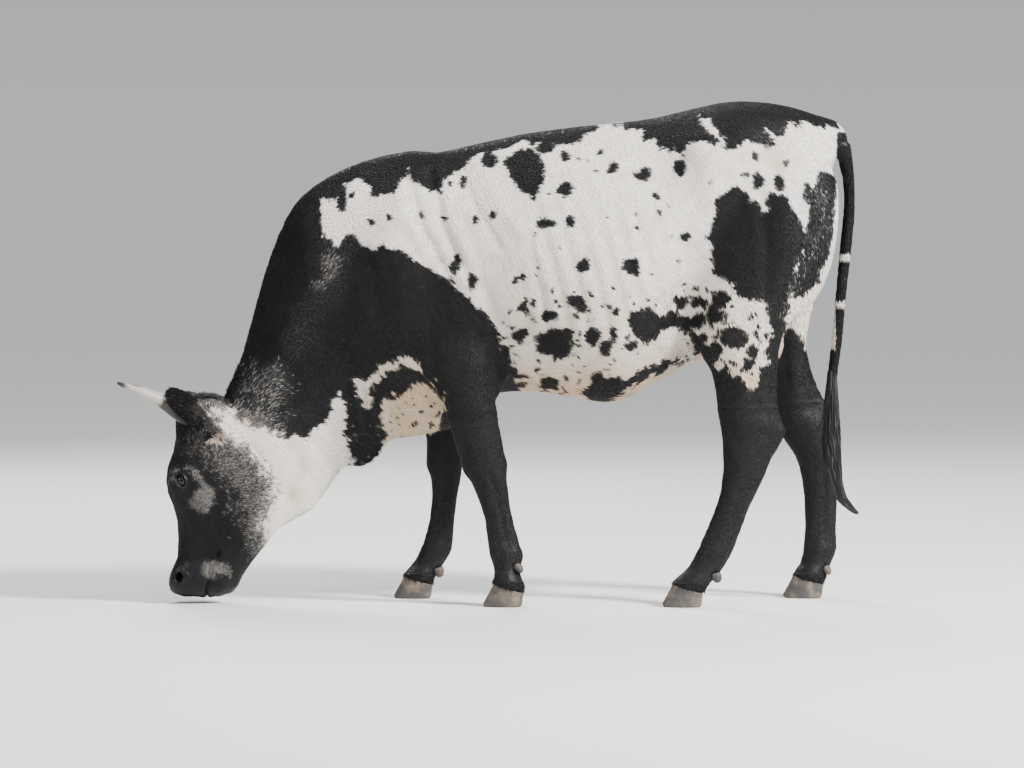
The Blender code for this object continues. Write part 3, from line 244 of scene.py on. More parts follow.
# Selecting, applying and reading meshes
def deselect() -> None:
    """Leaves object mode on and nothing selected."""
    if bpy.context.object and bpy.context.object.mode != "OBJECT":
        bpy.ops.object.mode_set(mode="OBJECT")
    bpy.ops.object.select_all(action="DESELECT")


def choose(*objects: Piece) -> None:
    """Selects these objects alone, the first one active."""
    deselect()
    for obj in objects:
        obj.select_set(True)
    bpy.context.view_layer.objects.active = objects[0]


def apply_modifier(obj: Piece, kind: str, **settings: object) -> None:
    """Adds one modifier, sets it and applies it.

    Args:
        obj: the object to change.
        kind: the modifier's type, such as "REMESH".
        settings: the modifier's own settings by name.
    """
    modifier = obj.modifiers.new(kind.lower(), kind)
    for name, value in settings.items():
        setattr(modifier, name, value)
    choose(obj)
    bpy.ops.object.modifier_apply(modifier=modifier.name)


def edit(obj: Piece, step: Callable[..., object], **settings: object) -> None:
    """Runs one operator of edit mode on a whole mesh, and leaves the object chosen.

    Args:
        obj: the object to change.
        step: the operator, such as bpy.ops.mesh.remove_doubles.
        settings: the operator's own settings by name.
    """
    choose(obj)
    bpy.ops.object.mode_set(mode="EDIT")
    bpy.ops.mesh.select_all(action="SELECT")
    step(**settings)
    bpy.ops.object.mode_set(mode="OBJECT")


def points_of(obj: Piece) -> Array:
    """The places of an object's vertices, one row each."""
    values = np.empty(len(obj.data.vertices) * 3, np.float32)
    obj.data.vertices.foreach_get("co", values)
    return values.reshape(-1, 3).astype(float)


def normals_of(obj: Piece) -> Array:
    """The outward directions at an object's vertices, one row each."""
    values = np.empty(len(obj.data.vertices) * 3, np.float32)
    obj.data.vertex_normals.foreach_get("vector", values)
    return values.reshape(-1, 3).astype(float)


def set_points(obj: Piece, points: Array) -> None:
    """Moves an object's vertices to these places."""
    obj.data.vertices.foreach_set("co", points.astype(np.float32).ravel())
    obj.data.update()


def copy_node(name: str) -> Piece:
    """A copy of a node of the frame, free of its body, with its loose triangles merged.

    Args:
        name: the node's name.

    Returns:
        The copy, at the origin, with its place in its mesh.
    """
    node = frame["nodes"][name]
    obj = node.copy()
    obj.data = node.data.copy()
    obj.parent = None
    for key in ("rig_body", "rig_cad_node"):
        if key in obj:
            del obj[key]
    obj.matrix_world = Matrix.Identity(4)
    obj.data.materials.clear()
    bpy.context.scene.collection.objects.link(obj)
    edit(obj, bpy.ops.mesh.remove_doubles, threshold=MERGE_DISTANCE)
    return obj


def mesh_from_arrays(name: str, points: Array, triangles: Array) -> Piece:
    """A new object from arrays of points and triangles.

    Args:
        name: the piece's name.
        points: one row of X, Y, Z a point.
        triangles: one row of three point numbers a triangle, turning left seen from outside.

    Returns:
        The new object, at the origin.
    """
    mesh = bpy.data.meshes.new(name)
    mesh.vertices.add(len(points))
    mesh.vertices.foreach_set("co", points.astype(np.float32).ravel())
    mesh.loops.add(3 * len(triangles))
    mesh.loops.foreach_set("vertex_index", triangles.astype(np.int32).ravel())
    mesh.polygons.add(len(triangles))
    mesh.polygons.foreach_set("loop_start", np.arange(0, 3 * len(triangles), 3, dtype=np.int32))
    mesh.update(calc_edges=True)
    obj = bpy.data.objects.new(name, mesh)
    bpy.context.scene.collection.objects.link(obj)
    return obj


def give_values(obj: Piece, values: Values) -> None:
    """Stores numbers on the vertices, under names that a material can read."""
    for name, numbers in values.items():
        attribute = obj.data.attributes.new(name, "FLOAT", "POINT")
        attribute.data.foreach_set("value", numbers.astype(np.float32))


def plain_values(count: int, dark: float = 0.0, warm: float = 0.0, shade: float = 0.0) -> Values:
    """The same colour for every tuft or point."""
    return {"dark": np.full(count, dark), "warm": np.full(count, warm), "shade": np.full(count, shade)}


def settle(
    obj: Piece, material: bpy.types.Material, replaced: Sequence[str] = ()
) -> Piece:
    """Finishes a piece.

    Args:
        obj: the piece, at the origin.
        material: its only material.
        replaced: the frame's nodes that it stands for.

    Returns:
        The piece.
    """
    obj.data.materials.append(material)
    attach(obj, BODY)
    if replaced:
        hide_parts(*replaced)
    obj.data.calc_loop_triangles()
    LOG.info("%s: %d triangles", obj.name, len(obj.data.loop_triangles))
    return obj


# Curves and soft steps
def unit(vectors: Array) -> Array:
    """Vectors, one a row, made one long."""
    return vectors / np.maximum(np.linalg.norm(vectors, axis=-1, keepdims=True), 1e-6)


def flattened(ways: Array, normals: Array) -> Array:
    """Directions laid flat on the skin, one long each."""
    return unit(ways - normals * (ways * normals).sum(axis=1, keepdims=True))


def smooth_step(low: float, high: float, values: Array) -> Array:
    """0 below low, 1 above high, and a soft rise between."""
    t = np.clip((values - low) / (high - low), 0, 1)
    return t * t * (3 - 2 * t)


def line_distance(points: Array, line: Array) -> Array:
    """How far each point is from a broken line, in two or three dimensions."""
    best = np.full(len(points), np.inf)
    for start, end in zip(line, line[1:]):
        along = end - start
        t = np.clip((points - start) @ along / (along @ along), 0, 1)
        best = np.minimum(best, np.linalg.norm(points - start - t[:, None] * along, axis=1))
    return best


def outline_depth(points: Array, outline: Outline) -> Array:
    """How deep each point lies inside a closed outline in its plane, negative outside it."""
    corners = np.array(outline)
    inside = np.zeros(len(points), bool)
    x, z = points.T
    for (x0, z0), (x1, z1) in zip(corners, np.roll(corners, -1, axis=0)):
        if z0 != z1:
            inside ^= ((z0 > z) != (z1 > z)) & (x < (x1 - x0) * (z - z0) / (z1 - z0) + x0)
    distance = line_distance(points, np.vstack([corners, corners[:1]]))
    return np.where(inside, distance, -distance)


class Wobble:
    """A smooth, repeatable unevenness in space, from waves in many directions."""

    def __init__(self, seed: int, grain: float, waves: int = 14) -> None:
        """Draws the waves.

        Args:
            seed: what the waves are drawn from.
            grain: the length of the waves in metres.
            waves: how many are added.
        """
        draw = np.random.default_rng(seed)
        ways = unit(draw.normal(size=(waves, 3)))
        self.ways = ways * (math.tau / grain) * draw.uniform(0.6, 1.6, (waves, 1))
        self.starts = draw.uniform(0, math.tau, waves)

    def at(self, points: Array) -> Array:
        """The unevenness at each point, mostly between -1 and 1."""
        return np.sin(points @ self.ways.T + self.starts).sum(axis=1) / math.sqrt(len(self.ways))


# Where the head is
class HeadFrame:
    """The head's own upright axes, in which it is alike on both sides."""

    def __init__(self) -> None:
        """Finds the head from the frame's left eye."""
        turn = (
            Matrix.Translation(HEAD_PIVOT)
            @ Matrix.Rotation(HEAD_ROLL, 4, "X")
            @ Matrix.Rotation(HEAD_YAW, 4, "Z")
            @ Matrix.Translation(-HEAD_PIVOT)
        )
        low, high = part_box("eye_left")
        self.shift = (Vector(low) + Vector(high)) / 2 - turn @ EYE_IN_HEAD
        self.matrix = Matrix.Translation(self.shift) @ turn

    def place(self, x: float, y: float, z: float) -> Vector:
        """The real place of a point of the upright head."""
        return self.matrix @ Vector((x, y, z))

    def upright(self, points: Array) -> Array:
        """Real places as places in the upright head."""
        back = np.array(self.matrix.inverted())
        return points @ back[:3, :3].T + back[:3, 3]

    def folded(self, points: Array) -> Array:
        """Real places as places in the left half of the upright head, the right half mirrored into it."""
        places = self.upright(points)
        places[:, 1] = -np.abs(places[:, 1])
        return places

    def seen(self, points: Array) -> Array:
        """X and height of real places, on the axes of the markings and the folds."""
        return points[:, [0, 2]] - (self.shift.x, 0.0)


# Shader graphs
class Wire:
    """A value in a shader. An expression on wires and numbers adds the nodes that work it out."""

    def __init__(self, graph: "Graph", socket: bpy.types.NodeSocket) -> None:
        """Wraps one output.

        Args:
            graph: the material's graph.
            socket: the output that carries the value.
        """
        self.graph = graph
        self.socket = socket

    def __add__(self, other: "Wire | float") -> "Wire":
        """The sum."""
        return self.graph.math("ADD", self, other)

    def __sub__(self, other: "Wire | float") -> "Wire":
        """The difference."""
        return self.graph.math("SUBTRACT", self, other)

    def __rsub__(self, other: float) -> "Wire":
        """A number less this value."""
        return self.graph.math("SUBTRACT", other, self)

    def __mul__(self, other: "Wire | float") -> "Wire":
        """The product."""
        return self.graph.math("MULTIPLY", self, other)

    __radd__ = __add__
    __rmul__ = __mul__


class Graph:
    """One material's nodes, round a Principled shader."""

    def __init__(self, name: str) -> None:
        """Starts a material with a bare Principled shader."""
        self.material = bpy.data.materials.new(name)
        self.material.use_nodes = True
        self.tree = self.material.node_tree
        self.shader = self.tree.nodes["Principled BSDF"]

    def node(
        self, kind: str, settings: dict[str, object], inputs: dict[str | int, object]
    ) -> bpy.types.Node:
        """Adds any node.

        Args:
            kind: the node's type, such as "ShaderNodeMath".
            settings: its own settings, set first.
            inputs: a wire or a constant for each socket, by name or number.

        Returns:
            The new node.
        """
        made = self.tree.nodes.new(kind)
        for name, value in settings.items():
            setattr(made, name, value)
        for name, value in inputs.items():
            self.feed(made.inputs[name], value)
        return made

    def feed(self, socket: bpy.types.NodeSocket, value: object) -> None:
        """Links a wire to a socket, or sets the socket to a constant."""
        if isinstance(value, Wire):
            self.tree.links.new(value.socket, socket)
        else:
            socket.default_value = value

    def math(self, operation: str, *values: "Wire | float") -> Wire:
        """A Math node's result."""
        made = self.node("ShaderNodeMath", {"operation": operation}, dict(enumerate(values)))
        return Wire(self, made.outputs[0])

    def value(self, name: str) -> Wire:
        """What the mesh holds under a name."""
        made = self.node("ShaderNodeAttribute", {"attribute_name": name}, {})
        return Wire(self, made.outputs["Fac"])

    def mix(self, share: "Wire | float", first: object, second: object) -> Wire:
        """A colour between two, at a share of the way."""
        made = self.node("ShaderNodeMix", {"data_type": "RGBA"}, {0: share, 6: first, 7: second})
        return Wire(self, made.outputs[2])

    def place(self, stretch: Triple = (1.0, 1.0, 1.0)) -> Wire:
        """The place on the object, stretched along its axes."""
        where = self.node("ShaderNodeTexCoord", {}, {})
        made = self.node("ShaderNodeMapping", {}, {0: Wire(self, where.outputs["Object"]), 3: stretch})
        return Wire(self, made.outputs[0])

    def noise(self, scale: float, detail: float = 2.0, place: "Wire | None" = None) -> Wire:
        """A soft unevenness from 0 to 1, with this many waves to the metre."""
        inputs = {"Scale": scale, "Detail": detail, "Vector": place or self.place()}
        made = self.node("ShaderNodeTexNoise", {}, inputs)
        return Wire(self, made.outputs[0])

    def cells(self, scale: float, place: "Wire | None" = None) -> Wire:
        """The distance to the nearest of many scattered points."""
        made = self.node("ShaderNodeTexVoronoi", {}, {"Scale": scale, "Vector": place or self.place()})
        return Wire(self, made.outputs["Distance"])

    def step(self, low: float, high: float, value: Wire) -> Wire:
        """0 below low, 1 above high, and a soft rise between."""
        settings = {"interpolation_type": "SMOOTHSTEP"}
        made = self.node("ShaderNodeMapRange", settings, {0: value, 1: low, 2: high})
        return Wire(self, made.outputs[0])

    def bump(self, height: Wire, distance: float, strength: float = 1.0) -> None:
        """Lets a height shape the shader's surface."""
        inputs = {"Height": height, "Distance": distance, "Strength": strength}
        made = self.node("ShaderNodeBump", {}, inputs)
        self.feed(self.shader.inputs["Normal"], Wire(self, made.outputs[0]))

    def finish(
        self, colour: object, roughness: object, constants: dict[str, float] | None = None
    ) -> bpy.types.Material:
        """Feeds the shader and returns the material.

        Args:
            colour: a wire or a colour for the base.
            roughness: a wire or a number.
            constants: other sockets of the shader and their values.

        Returns:
            The finished material.
        """
        self.feed(self.shader.inputs["Base Color"], colour)
        self.feed(self.shader.inputs["Roughness"], roughness)
        for name, value in (constants or {}).items():
            self.shader.inputs[name].default_value = value
        return self.material


@dataclass(frozen=True)
class CoatFinish:
    """The hair and the hide under it, from the values that the markings give each point."""

    black: Colour = (0.0034, 0.0034, 0.0043, 1.0)
    rusty: Colour = (0.0100, 0.0068, 0.0060, 1.0)
    white: Colour = (0.82, 0.78, 0.73, 1.0)
    # Cream is the hair's own tint in places; on the belly and the lower body it is also painted shade and
    # painted light thrown up from the ground.
    cream: Colour = (0.62, 0.47, 0.31, 1.0)
    nose: Colour = (0.0030, 0.0030, 0.0038, 1.0)
    pink: Colour = (0.44, 0.29, 0.24, 1.0)
    grey_skin: Colour = (0.16, 0.13, 0.125, 1.0)
    dull_white: Colour = (0.50, 0.45, 0.39, 1.0)
    dull_black: Colour = (0.050, 0.048, 0.050, 1.0)

    def coat_colour(self, graph: Graph) -> Wire:
        """The hair's colour: white or cream, or black with a rusty cast."""
        # The warm value mixes in the cream, painted shade and painted ground light included.
        pale = graph.mix(graph.value("warm"), self.white, self.cream)
        dark = graph.mix(graph.step(0.45, 0.80, graph.noise(9.0, 3.0)) * 0.5, self.black, self.rusty)
        hair = graph.mix(graph.value("dark"), pale, dark)
        dull = graph.mix(graph.value("dark"), self.dull_white, self.dull_black)
        return graph.mix(graph.value("shade"), hair, dull)

    def hair(self) -> bpy.types.Material:
        """The tufts."""
        graph = Graph("coat_hair")
        colour = self.coat_colour(graph)
        roughness = 0.62 - graph.value("dark") * 0.16 + graph.noise(160.0) * 0.06
        return graph.finish(colour, roughness, {"Specular IOR Level": 0.26})

    def hide(self) -> bpy.types.Material:
        """The skin, with flat hair as bump, and bare on the nose, the lips and the udder with its teats."""
        graph = Graph("hide")
        bare = graph.value("bare")
        naked = graph.mix(graph.value("pink"), self.nose, self.pink)
        mottle = graph.step(0.55, 0.70, graph.noise(45.0, 3.0)) * graph.value("pink")
        mottled = graph.mix(mottle, naked, self.grey_skin)
        colour = graph.mix(bare, self.coat_colour(graph), mottled)
        covered = 0.66 - graph.value("dark") * 0.16
        roughness = (1 - bare) * covered + bare * (0.46 + graph.value("pink") * 0.10)
        hairs = graph.noise(420.0, 3.0, graph.place((0.35, 1.0, 1.0)))
        pebbles = graph.cells(330.0)
        height = (1 - bare) * hairs * 0.5 + bare * pebbles * 0.9
        graph.bump(height, 0.0009)
        return graph.finish(colour, roughness, {"Specular IOR Level": 0.26})


# The markings
@dataclass(frozen=True)
class Patch:
    """One patch of the coat: its outline in centimetres, what it does, and how frayed its edge is."""

    outline: Outline
    tone: Tone
    fray: float = 0.004
    share: float = 0.5
    """How much of a roan patch is white hair."""
    fade: float = 0.022
    """How far the edge of a roan patch fades."""


NEAR_PATCHES = (
    Patch(FORE, Tone.BLACK),
    Patch(BACK, Tone.BLACK, 0.005),
    Patch(HIND, Tone.BLACK, 0.006),
    Patch(THIGH, Tone.BLACK),
    Patch(BUTTOCK, Tone.BLACK),
    Patch(BACK_SPOT, Tone.BLACK),
    Patch(BELLY_BAND, Tone.BLACK, 0.005),
    Patch(BELLY_PATCH, Tone.BLACK, 0.006),
    Patch(THROAT, Tone.WHITE, 0.010),
    Patch(CHEST_WHITE, Tone.WHITE, 0.008),
    Patch(CREAM_LINE, Tone.WHITE, 0.006),
    Patch(NECK_WHITE, Tone.WHITE),
    Patch(BACK_STREAK, Tone.WHITE),
    Patch(NECK_ROAN, Tone.ROAN, 0.014, 0.32, 0.030),
    Patch(CHEEK_ROAN, Tone.ROAN, 0.014, 0.40, 0.040),
    Patch(BUTTOCK_ROAN, Tone.ROAN, 0.010, 0.12, 0.014),
    Patch(SHOULDER_ROAN, Tone.ROAN, 0.010, 0.35, 0.016),
    Patch(EYE_ROAN, Tone.ROAN, 0.004, 0.72, 0.009),
    Patch(NOSE_ROAN, Tone.ROAN, 0.005, 0.80, 0.010),
)


def shifted(outline: Outline, along: float, up: float, growth: float = 1.0) -> Outline:
    """An outline moved, and made larger or smaller about its own middle."""
    middle = np.mean(outline, axis=0)
    return tuple(map(tuple, middle + (np.array(outline) - middle) * growth + (along, up)))


FAR_PATCHES = (
    Patch(FORE, Tone.BLACK, 0.006),
    Patch(shifted(BACK, 4.0, 2.0), Tone.BLACK, 0.006),
    Patch(HIND, Tone.BLACK, 0.006),
    Patch(shifted(THIGH, -3.0, -3.0, 1.15), Tone.BLACK),
    Patch(shifted(THIGH, -40.0, 12.0, 0.55), Tone.BLACK),
    Patch(BUTTOCK, Tone.BLACK),
    Patch(shifted(BELLY_PATCH, -9.0, 6.0, 0.9), Tone.BLACK, 0.006),
    Patch(shifted(THROAT, 0.0, 1.0), Tone.WHITE, 0.010),
    Patch(shifted(CHEST_WHITE, -2.0, 1.0, 0.9), Tone.WHITE, 0.008),
    Patch(NECK_ROAN, Tone.ROAN, 0.014, 0.28, 0.030),
    Patch(CHEEK_ROAN, Tone.ROAN, 0.014, 0.40, 0.040),
    Patch(EYE_ROAN, Tone.ROAN, 0.004, 0.68, 0.009),
    Patch(NOSE_ROAN, Tone.ROAN, 0.005, 0.75, 0.010),
)


class Markings:
    """The black and white of the coat at any point, worked out from its patches and spots."""

    CM = 0.01
    SEAM = 0.03
    """How far from the middle plane the two sides blend."""
    TAIL_RUNS = ((0.942, 1.292, 0.045), (0.905, 0.62, 0.035))
    """The tail's upper run and its lower one behind the thighs: X from, height up to, how far aside."""
    TAIL_RINGS = (0.948, 0.819)
    """The heights of two thin white rings."""
    RING_HALF = 0.009
    FAR_SPOTS = 70
    SPOT_GROWTH = 0.5
    """Centimetres added to the size of each listed spot, which the hair's tips hide."""
    TICK_FIELDS = (
        ((2.0, 46.0), (56.0, 86.0), 120),
        ((52.0, 78.0), (62.0, 88.0), 120),
        ((-30.0, -12.0), (42.0, 58.0), 20),
        ((10.0, 60.0), (88.0, 122.0), 22),
    )
    """Where small ticks lie: X from and to, height from and to, and how many."""
    STAINS = ((-0.520, 0.380, 0.012, 0.055), (-0.665, 0.500, 0.030, 0.016), (-0.545, 0.300, 0.020, 0.030))
    """Rusty stains of the throat: X, height, and how far each reaches both ways."""
    HIP_STAIN = (0.775, 1.210, 0.030, 0.045)
    EAR_STAIN = (-0.765, 0.447, 0.022, 0.008)
    """The cream under the ear, along a slope."""
    EAR_SLOPE = 0.3
    BRISKET = ((1, 0.62, 0.52), (0, -0.42, -0.36), (0, -0.24, -0.30))
    CHEST = ((1, 0.62, 0.56), (0, -0.34, -0.28), (0, -0.06, -0.12))
    # The belly part warms the white: partly cream hair and dirt, partly painted shade and painted light
    # thrown up from the ground.
    BELLY = ((1, 0.70, 0.58), (0, -0.35, -0.25))
    JAW = ((0, -0.54, -0.62),)
    """These four are parts of the cow, as soft steps from none of it to all, along X (0) or up (1)."""
    JAW_TOP = 0.56

    def __init__(self, shift: Vector, seed: int = 5) -> None:
        """Draws the far side's spots and the unevenness of the edges.

        Args:
            shift: the frame's place of the middle of the markings' axes.
            seed: what the spots of the far side are drawn from.
        """
        self.shift = np.array(shift)
        self.coarse = Wobble(21, 0.060)
        self.fine = Wobble(22, 0.020)
        self.flecks = Wobble(23, 0.016)
        draw = np.random.default_rng(seed)
        x = draw.uniform(-8, 84, self.FAR_SPOTS)
        z = draw.uniform(62, 124, self.FAR_SPOTS)
        width = 1.4 + 6.5 * draw.random(self.FAR_SPOTS) ** 3
        height = width * draw.uniform(0.7, 1.4, self.FAR_SPOTS)
        tilt = draw.uniform(-40, 40, self.FAR_SPOTS)
        listed = np.array(SPOTS) + (0, 0, self.SPOT_GROWTH, self.SPOT_GROWTH, 0)
        near_ticks = [self.ticks(draw, *tick_field) for tick_field in self.TICK_FIELDS]
        self.near_spots = np.vstack([listed, *near_ticks])
        far_ticks = [self.ticks(draw, *tick_field) for tick_field in self.TICK_FIELDS]
        self.far_spots = np.vstack([np.stack([x, z, width, height, tilt], axis=1), *far_ticks])

    def ticks(
        self, draw: np.random.Generator, along: tuple[float, float], up: tuple[float, float], count: int
    ) -> Array:
        """Small spots scattered over a field.

        Args:
            draw: the source of the randomness.
            along: where the field starts and ends in X, in centimetres.
            up: its lowest and highest height.
            count: how many spots.

        Returns:
            Spots as in SPOTS.
        """
        width = draw.uniform(0.7, 1.3, count)
        x, z = draw.uniform(*along, count), draw.uniform(*up, count)
        height, tilt = width * draw.uniform(0.7, 1.5, count), draw.uniform(-40, 40, count)
        return np.stack([x, z, width, height, tilt], axis=1)

    def flat(self, points: Array) -> Array:
        """Points on the middle plane, as the camera sees them, or one on the far side for the far half."""
        away = abs(CAMERA_PLACE.y)
        grow = away / (away - np.abs(points[:, 1]))
        x = CAMERA_PLACE.x + (points[:, 0] - CAMERA_PLACE.x) * grow
        z = CAMERA_PLACE.z + (points[:, 2] - CAMERA_PLACE.z) * grow
        return np.stack([x - self.shift[0], z], axis=1)

    def spot_depth(self, flat: Array, spots: Array) -> Array:
        """How deep each point lies in the nearest of many oval spots."""
        best = np.full(len(flat), -1.0)
        for x, z, width, height, tilt in spots:
            cos, sin = math.cos(math.radians(tilt)), math.sin(math.radians(tilt))
            dx, dz = flat[:, 0] - x * self.CM, flat[:, 1] - z * self.CM
            across, up = dx * cos + dz * sin, dz * cos - dx * sin
            reach = np.hypot(across / (width * self.CM / 2), up / (height * self.CM / 2))
            best = np.maximum(best, (1 - reach) * min(width, height) * self.CM / 2)
        return best

    def side_values(self, points: Array, patches: Sequence[Patch], spots: Array) -> tuple[Array, Array]:
        """The depth in black and the share of white hairs, by one side's patches."""
        flat = self.flat(points)
        uneven = self.coarse.at(points) + 0.7 * self.fine.at(points)
        depth = np.full(len(points), -0.05)
        pale = np.zeros(len(points))
        for patch in patches:
            outline = tuple((x * self.CM, z * self.CM) for x, z in patch.outline)
            inside = outline_depth(flat, outline) + uneven * patch.fray
            if patch.tone is Tone.BLACK:
                depth = np.maximum(depth, inside)
            elif patch.tone is Tone.WHITE:
                depth = np.minimum(depth, -inside)
            else:
                pale = np.maximum(pale, patch.share * smooth_step(-patch.fade, patch.fade, inside))
        sway = [self.coarse.at(points + k) * 0.0045 + self.fine.at(points + k) * 0.0016 for k in (1.7, 3.1)]
        spotted = self.spot_depth(flat + np.stack(sway, axis=1), spots) + 0.0008 * uneven
        return np.maximum(depth, spotted), pale

    def part(self, seen: Array, steps: Sequence[tuple[int, float, float]]) -> Array:
        """How far each point belongs to a part of the cow, from 0 to 1."""
        share = np.ones(len(seen))
        for axis, low, high in steps:
            share = share * smooth_step(low, high, seen[:, axis])
        return share

    def stain(self, seen: Array, place: tuple[float, float, float, float], slope: float = 0.0) -> Array:
        """A soft round stain: 1 at its middle, and less away from it."""
        x, z = seen[:, 0] - place[0], seen[:, 1] - place[1]
        return np.exp(-((x / place[2]) ** 2) - ((z - slope * x) / place[3]) ** 2)

    def on_tail(self, seen: Array, points: Array) -> Array:
        """Which points are the tail's."""
        x, z = seen.T
        aside = np.abs(points[:, 1])
        runs = [(x > start) & (z < top) & (aside < reach) for start, top, reach in self.TAIL_RUNS]
        return np.any(runs, axis=0)

    def at(self, points: Array) -> Values:
        """The coat's values at points.

        Args:
            points: places on the cow, one row each.

        Returns:
            The depth in black in metres, the share of white hairs in the black, the warmth of the white (its
            own cream and stains, and on the belly and lower body painted shade and light thrown up from the
            ground) and how dull the hair is.
        """
        near, near_pale = self.side_values(points, NEAR_PATCHES, self.near_spots)
        far, far_pale = self.side_values(points, FAR_PATCHES, self.far_spots)
        share = smooth_step(-self.SEAM, self.SEAM, points[:, 1])
        depth = near * (1 - share) + far * share
        pale = near_pale * (1 - share) + far_pale * share
        seen = points[:, [0, 2]] - (self.shift[0], 0.0)
        x, z = seen.T
        on_tail = self.on_tail(seen, points)
        depth = np.where(on_tail, 0.03, depth)
        for ring in self.TAIL_RINGS:
            depth = np.where(on_tail & (np.abs(z - ring) < self.RING_HALF), -0.01, depth)
        frost = 0.88 * smooth_step(0.080, -0.006, depth) * self.part(seen, self.JAW) * (z < self.JAW_TOP)
        fleck = smooth_step(1.25, 1.7, self.flecks.at(points))
        pale = np.maximum(np.maximum(pale, frost), 0.8 * fleck * self.part(seen, self.BRISKET))
        depth = np.where((self.part(seen, self.CHEST) > 0.5) & (depth < 0) & (fleck > 0.3), 0.004, depth)
        under_ear = self.stain(seen, self.EAR_STAIN, self.EAR_SLOPE)
        depth = np.where((under_ear > 0.5) & (x < -0.7), -0.006, depth)
        coarse = self.coarse.at(points)
        # Painted light on the belly: warmth that stands for shade and light thrown up from the ground,
        # partly real cream and dirt; the throat's rusty stains are real.
        belly_bounce_and_stains = self.part(seen, self.BELLY) + sum(self.stain(seen, place) for place in self.STAINS)
        # Painted warm shade: the white grows warmer towards the bottom of the body behind the neck, partly
        # real dirt.
        low = 0.30 * smooth_step(1.05, 0.66, z) * (x > -0.35)
        hip = self.stain(seen, self.HIP_STAIN)
        warm = np.clip(0.08 + 0.55 * belly_bounce_and_stains + low + 0.55 * hip + 0.8 * under_ear + 0.10 * coarse, 0, 1)
        dust = 0.10 * smooth_step(0.34, 0.12, z) * (x > -0.32) + 0.05 * smooth_step(0.4, 1.2, coarse)
        return {"depth": depth, "pale": pale, "warm": warm, "dull": dust}


# The hide
class Region(Enum):
    """The parts of the hide, each with a coat of its own."""

    HEAD_LEFT = "head_left"
    HEAD_RIGHT = "head_right"
    EAR_LEFT = "ear_left"
    EAR_RIGHT = "ear_right"
    NECK = "neck"
    CHEST_LEFT = "chest_left"
    CHEST_RIGHT = "chest_right"
    BARREL_LEFT = "barrel_left"
    BARREL_RIGHT = "barrel_right"
    RUMP_LEFT = "rump_left"
    RUMP_RIGHT = "rump_right"
    FORE_LEFT = "leg_fore_left"
    FORE_RIGHT = "leg_fore_right"
    HIND_LEFT = "leg_hind_left"
    HIND_RIGHT = "leg_hind_right"
    TAIL = "tail"
    BARE = "bare"


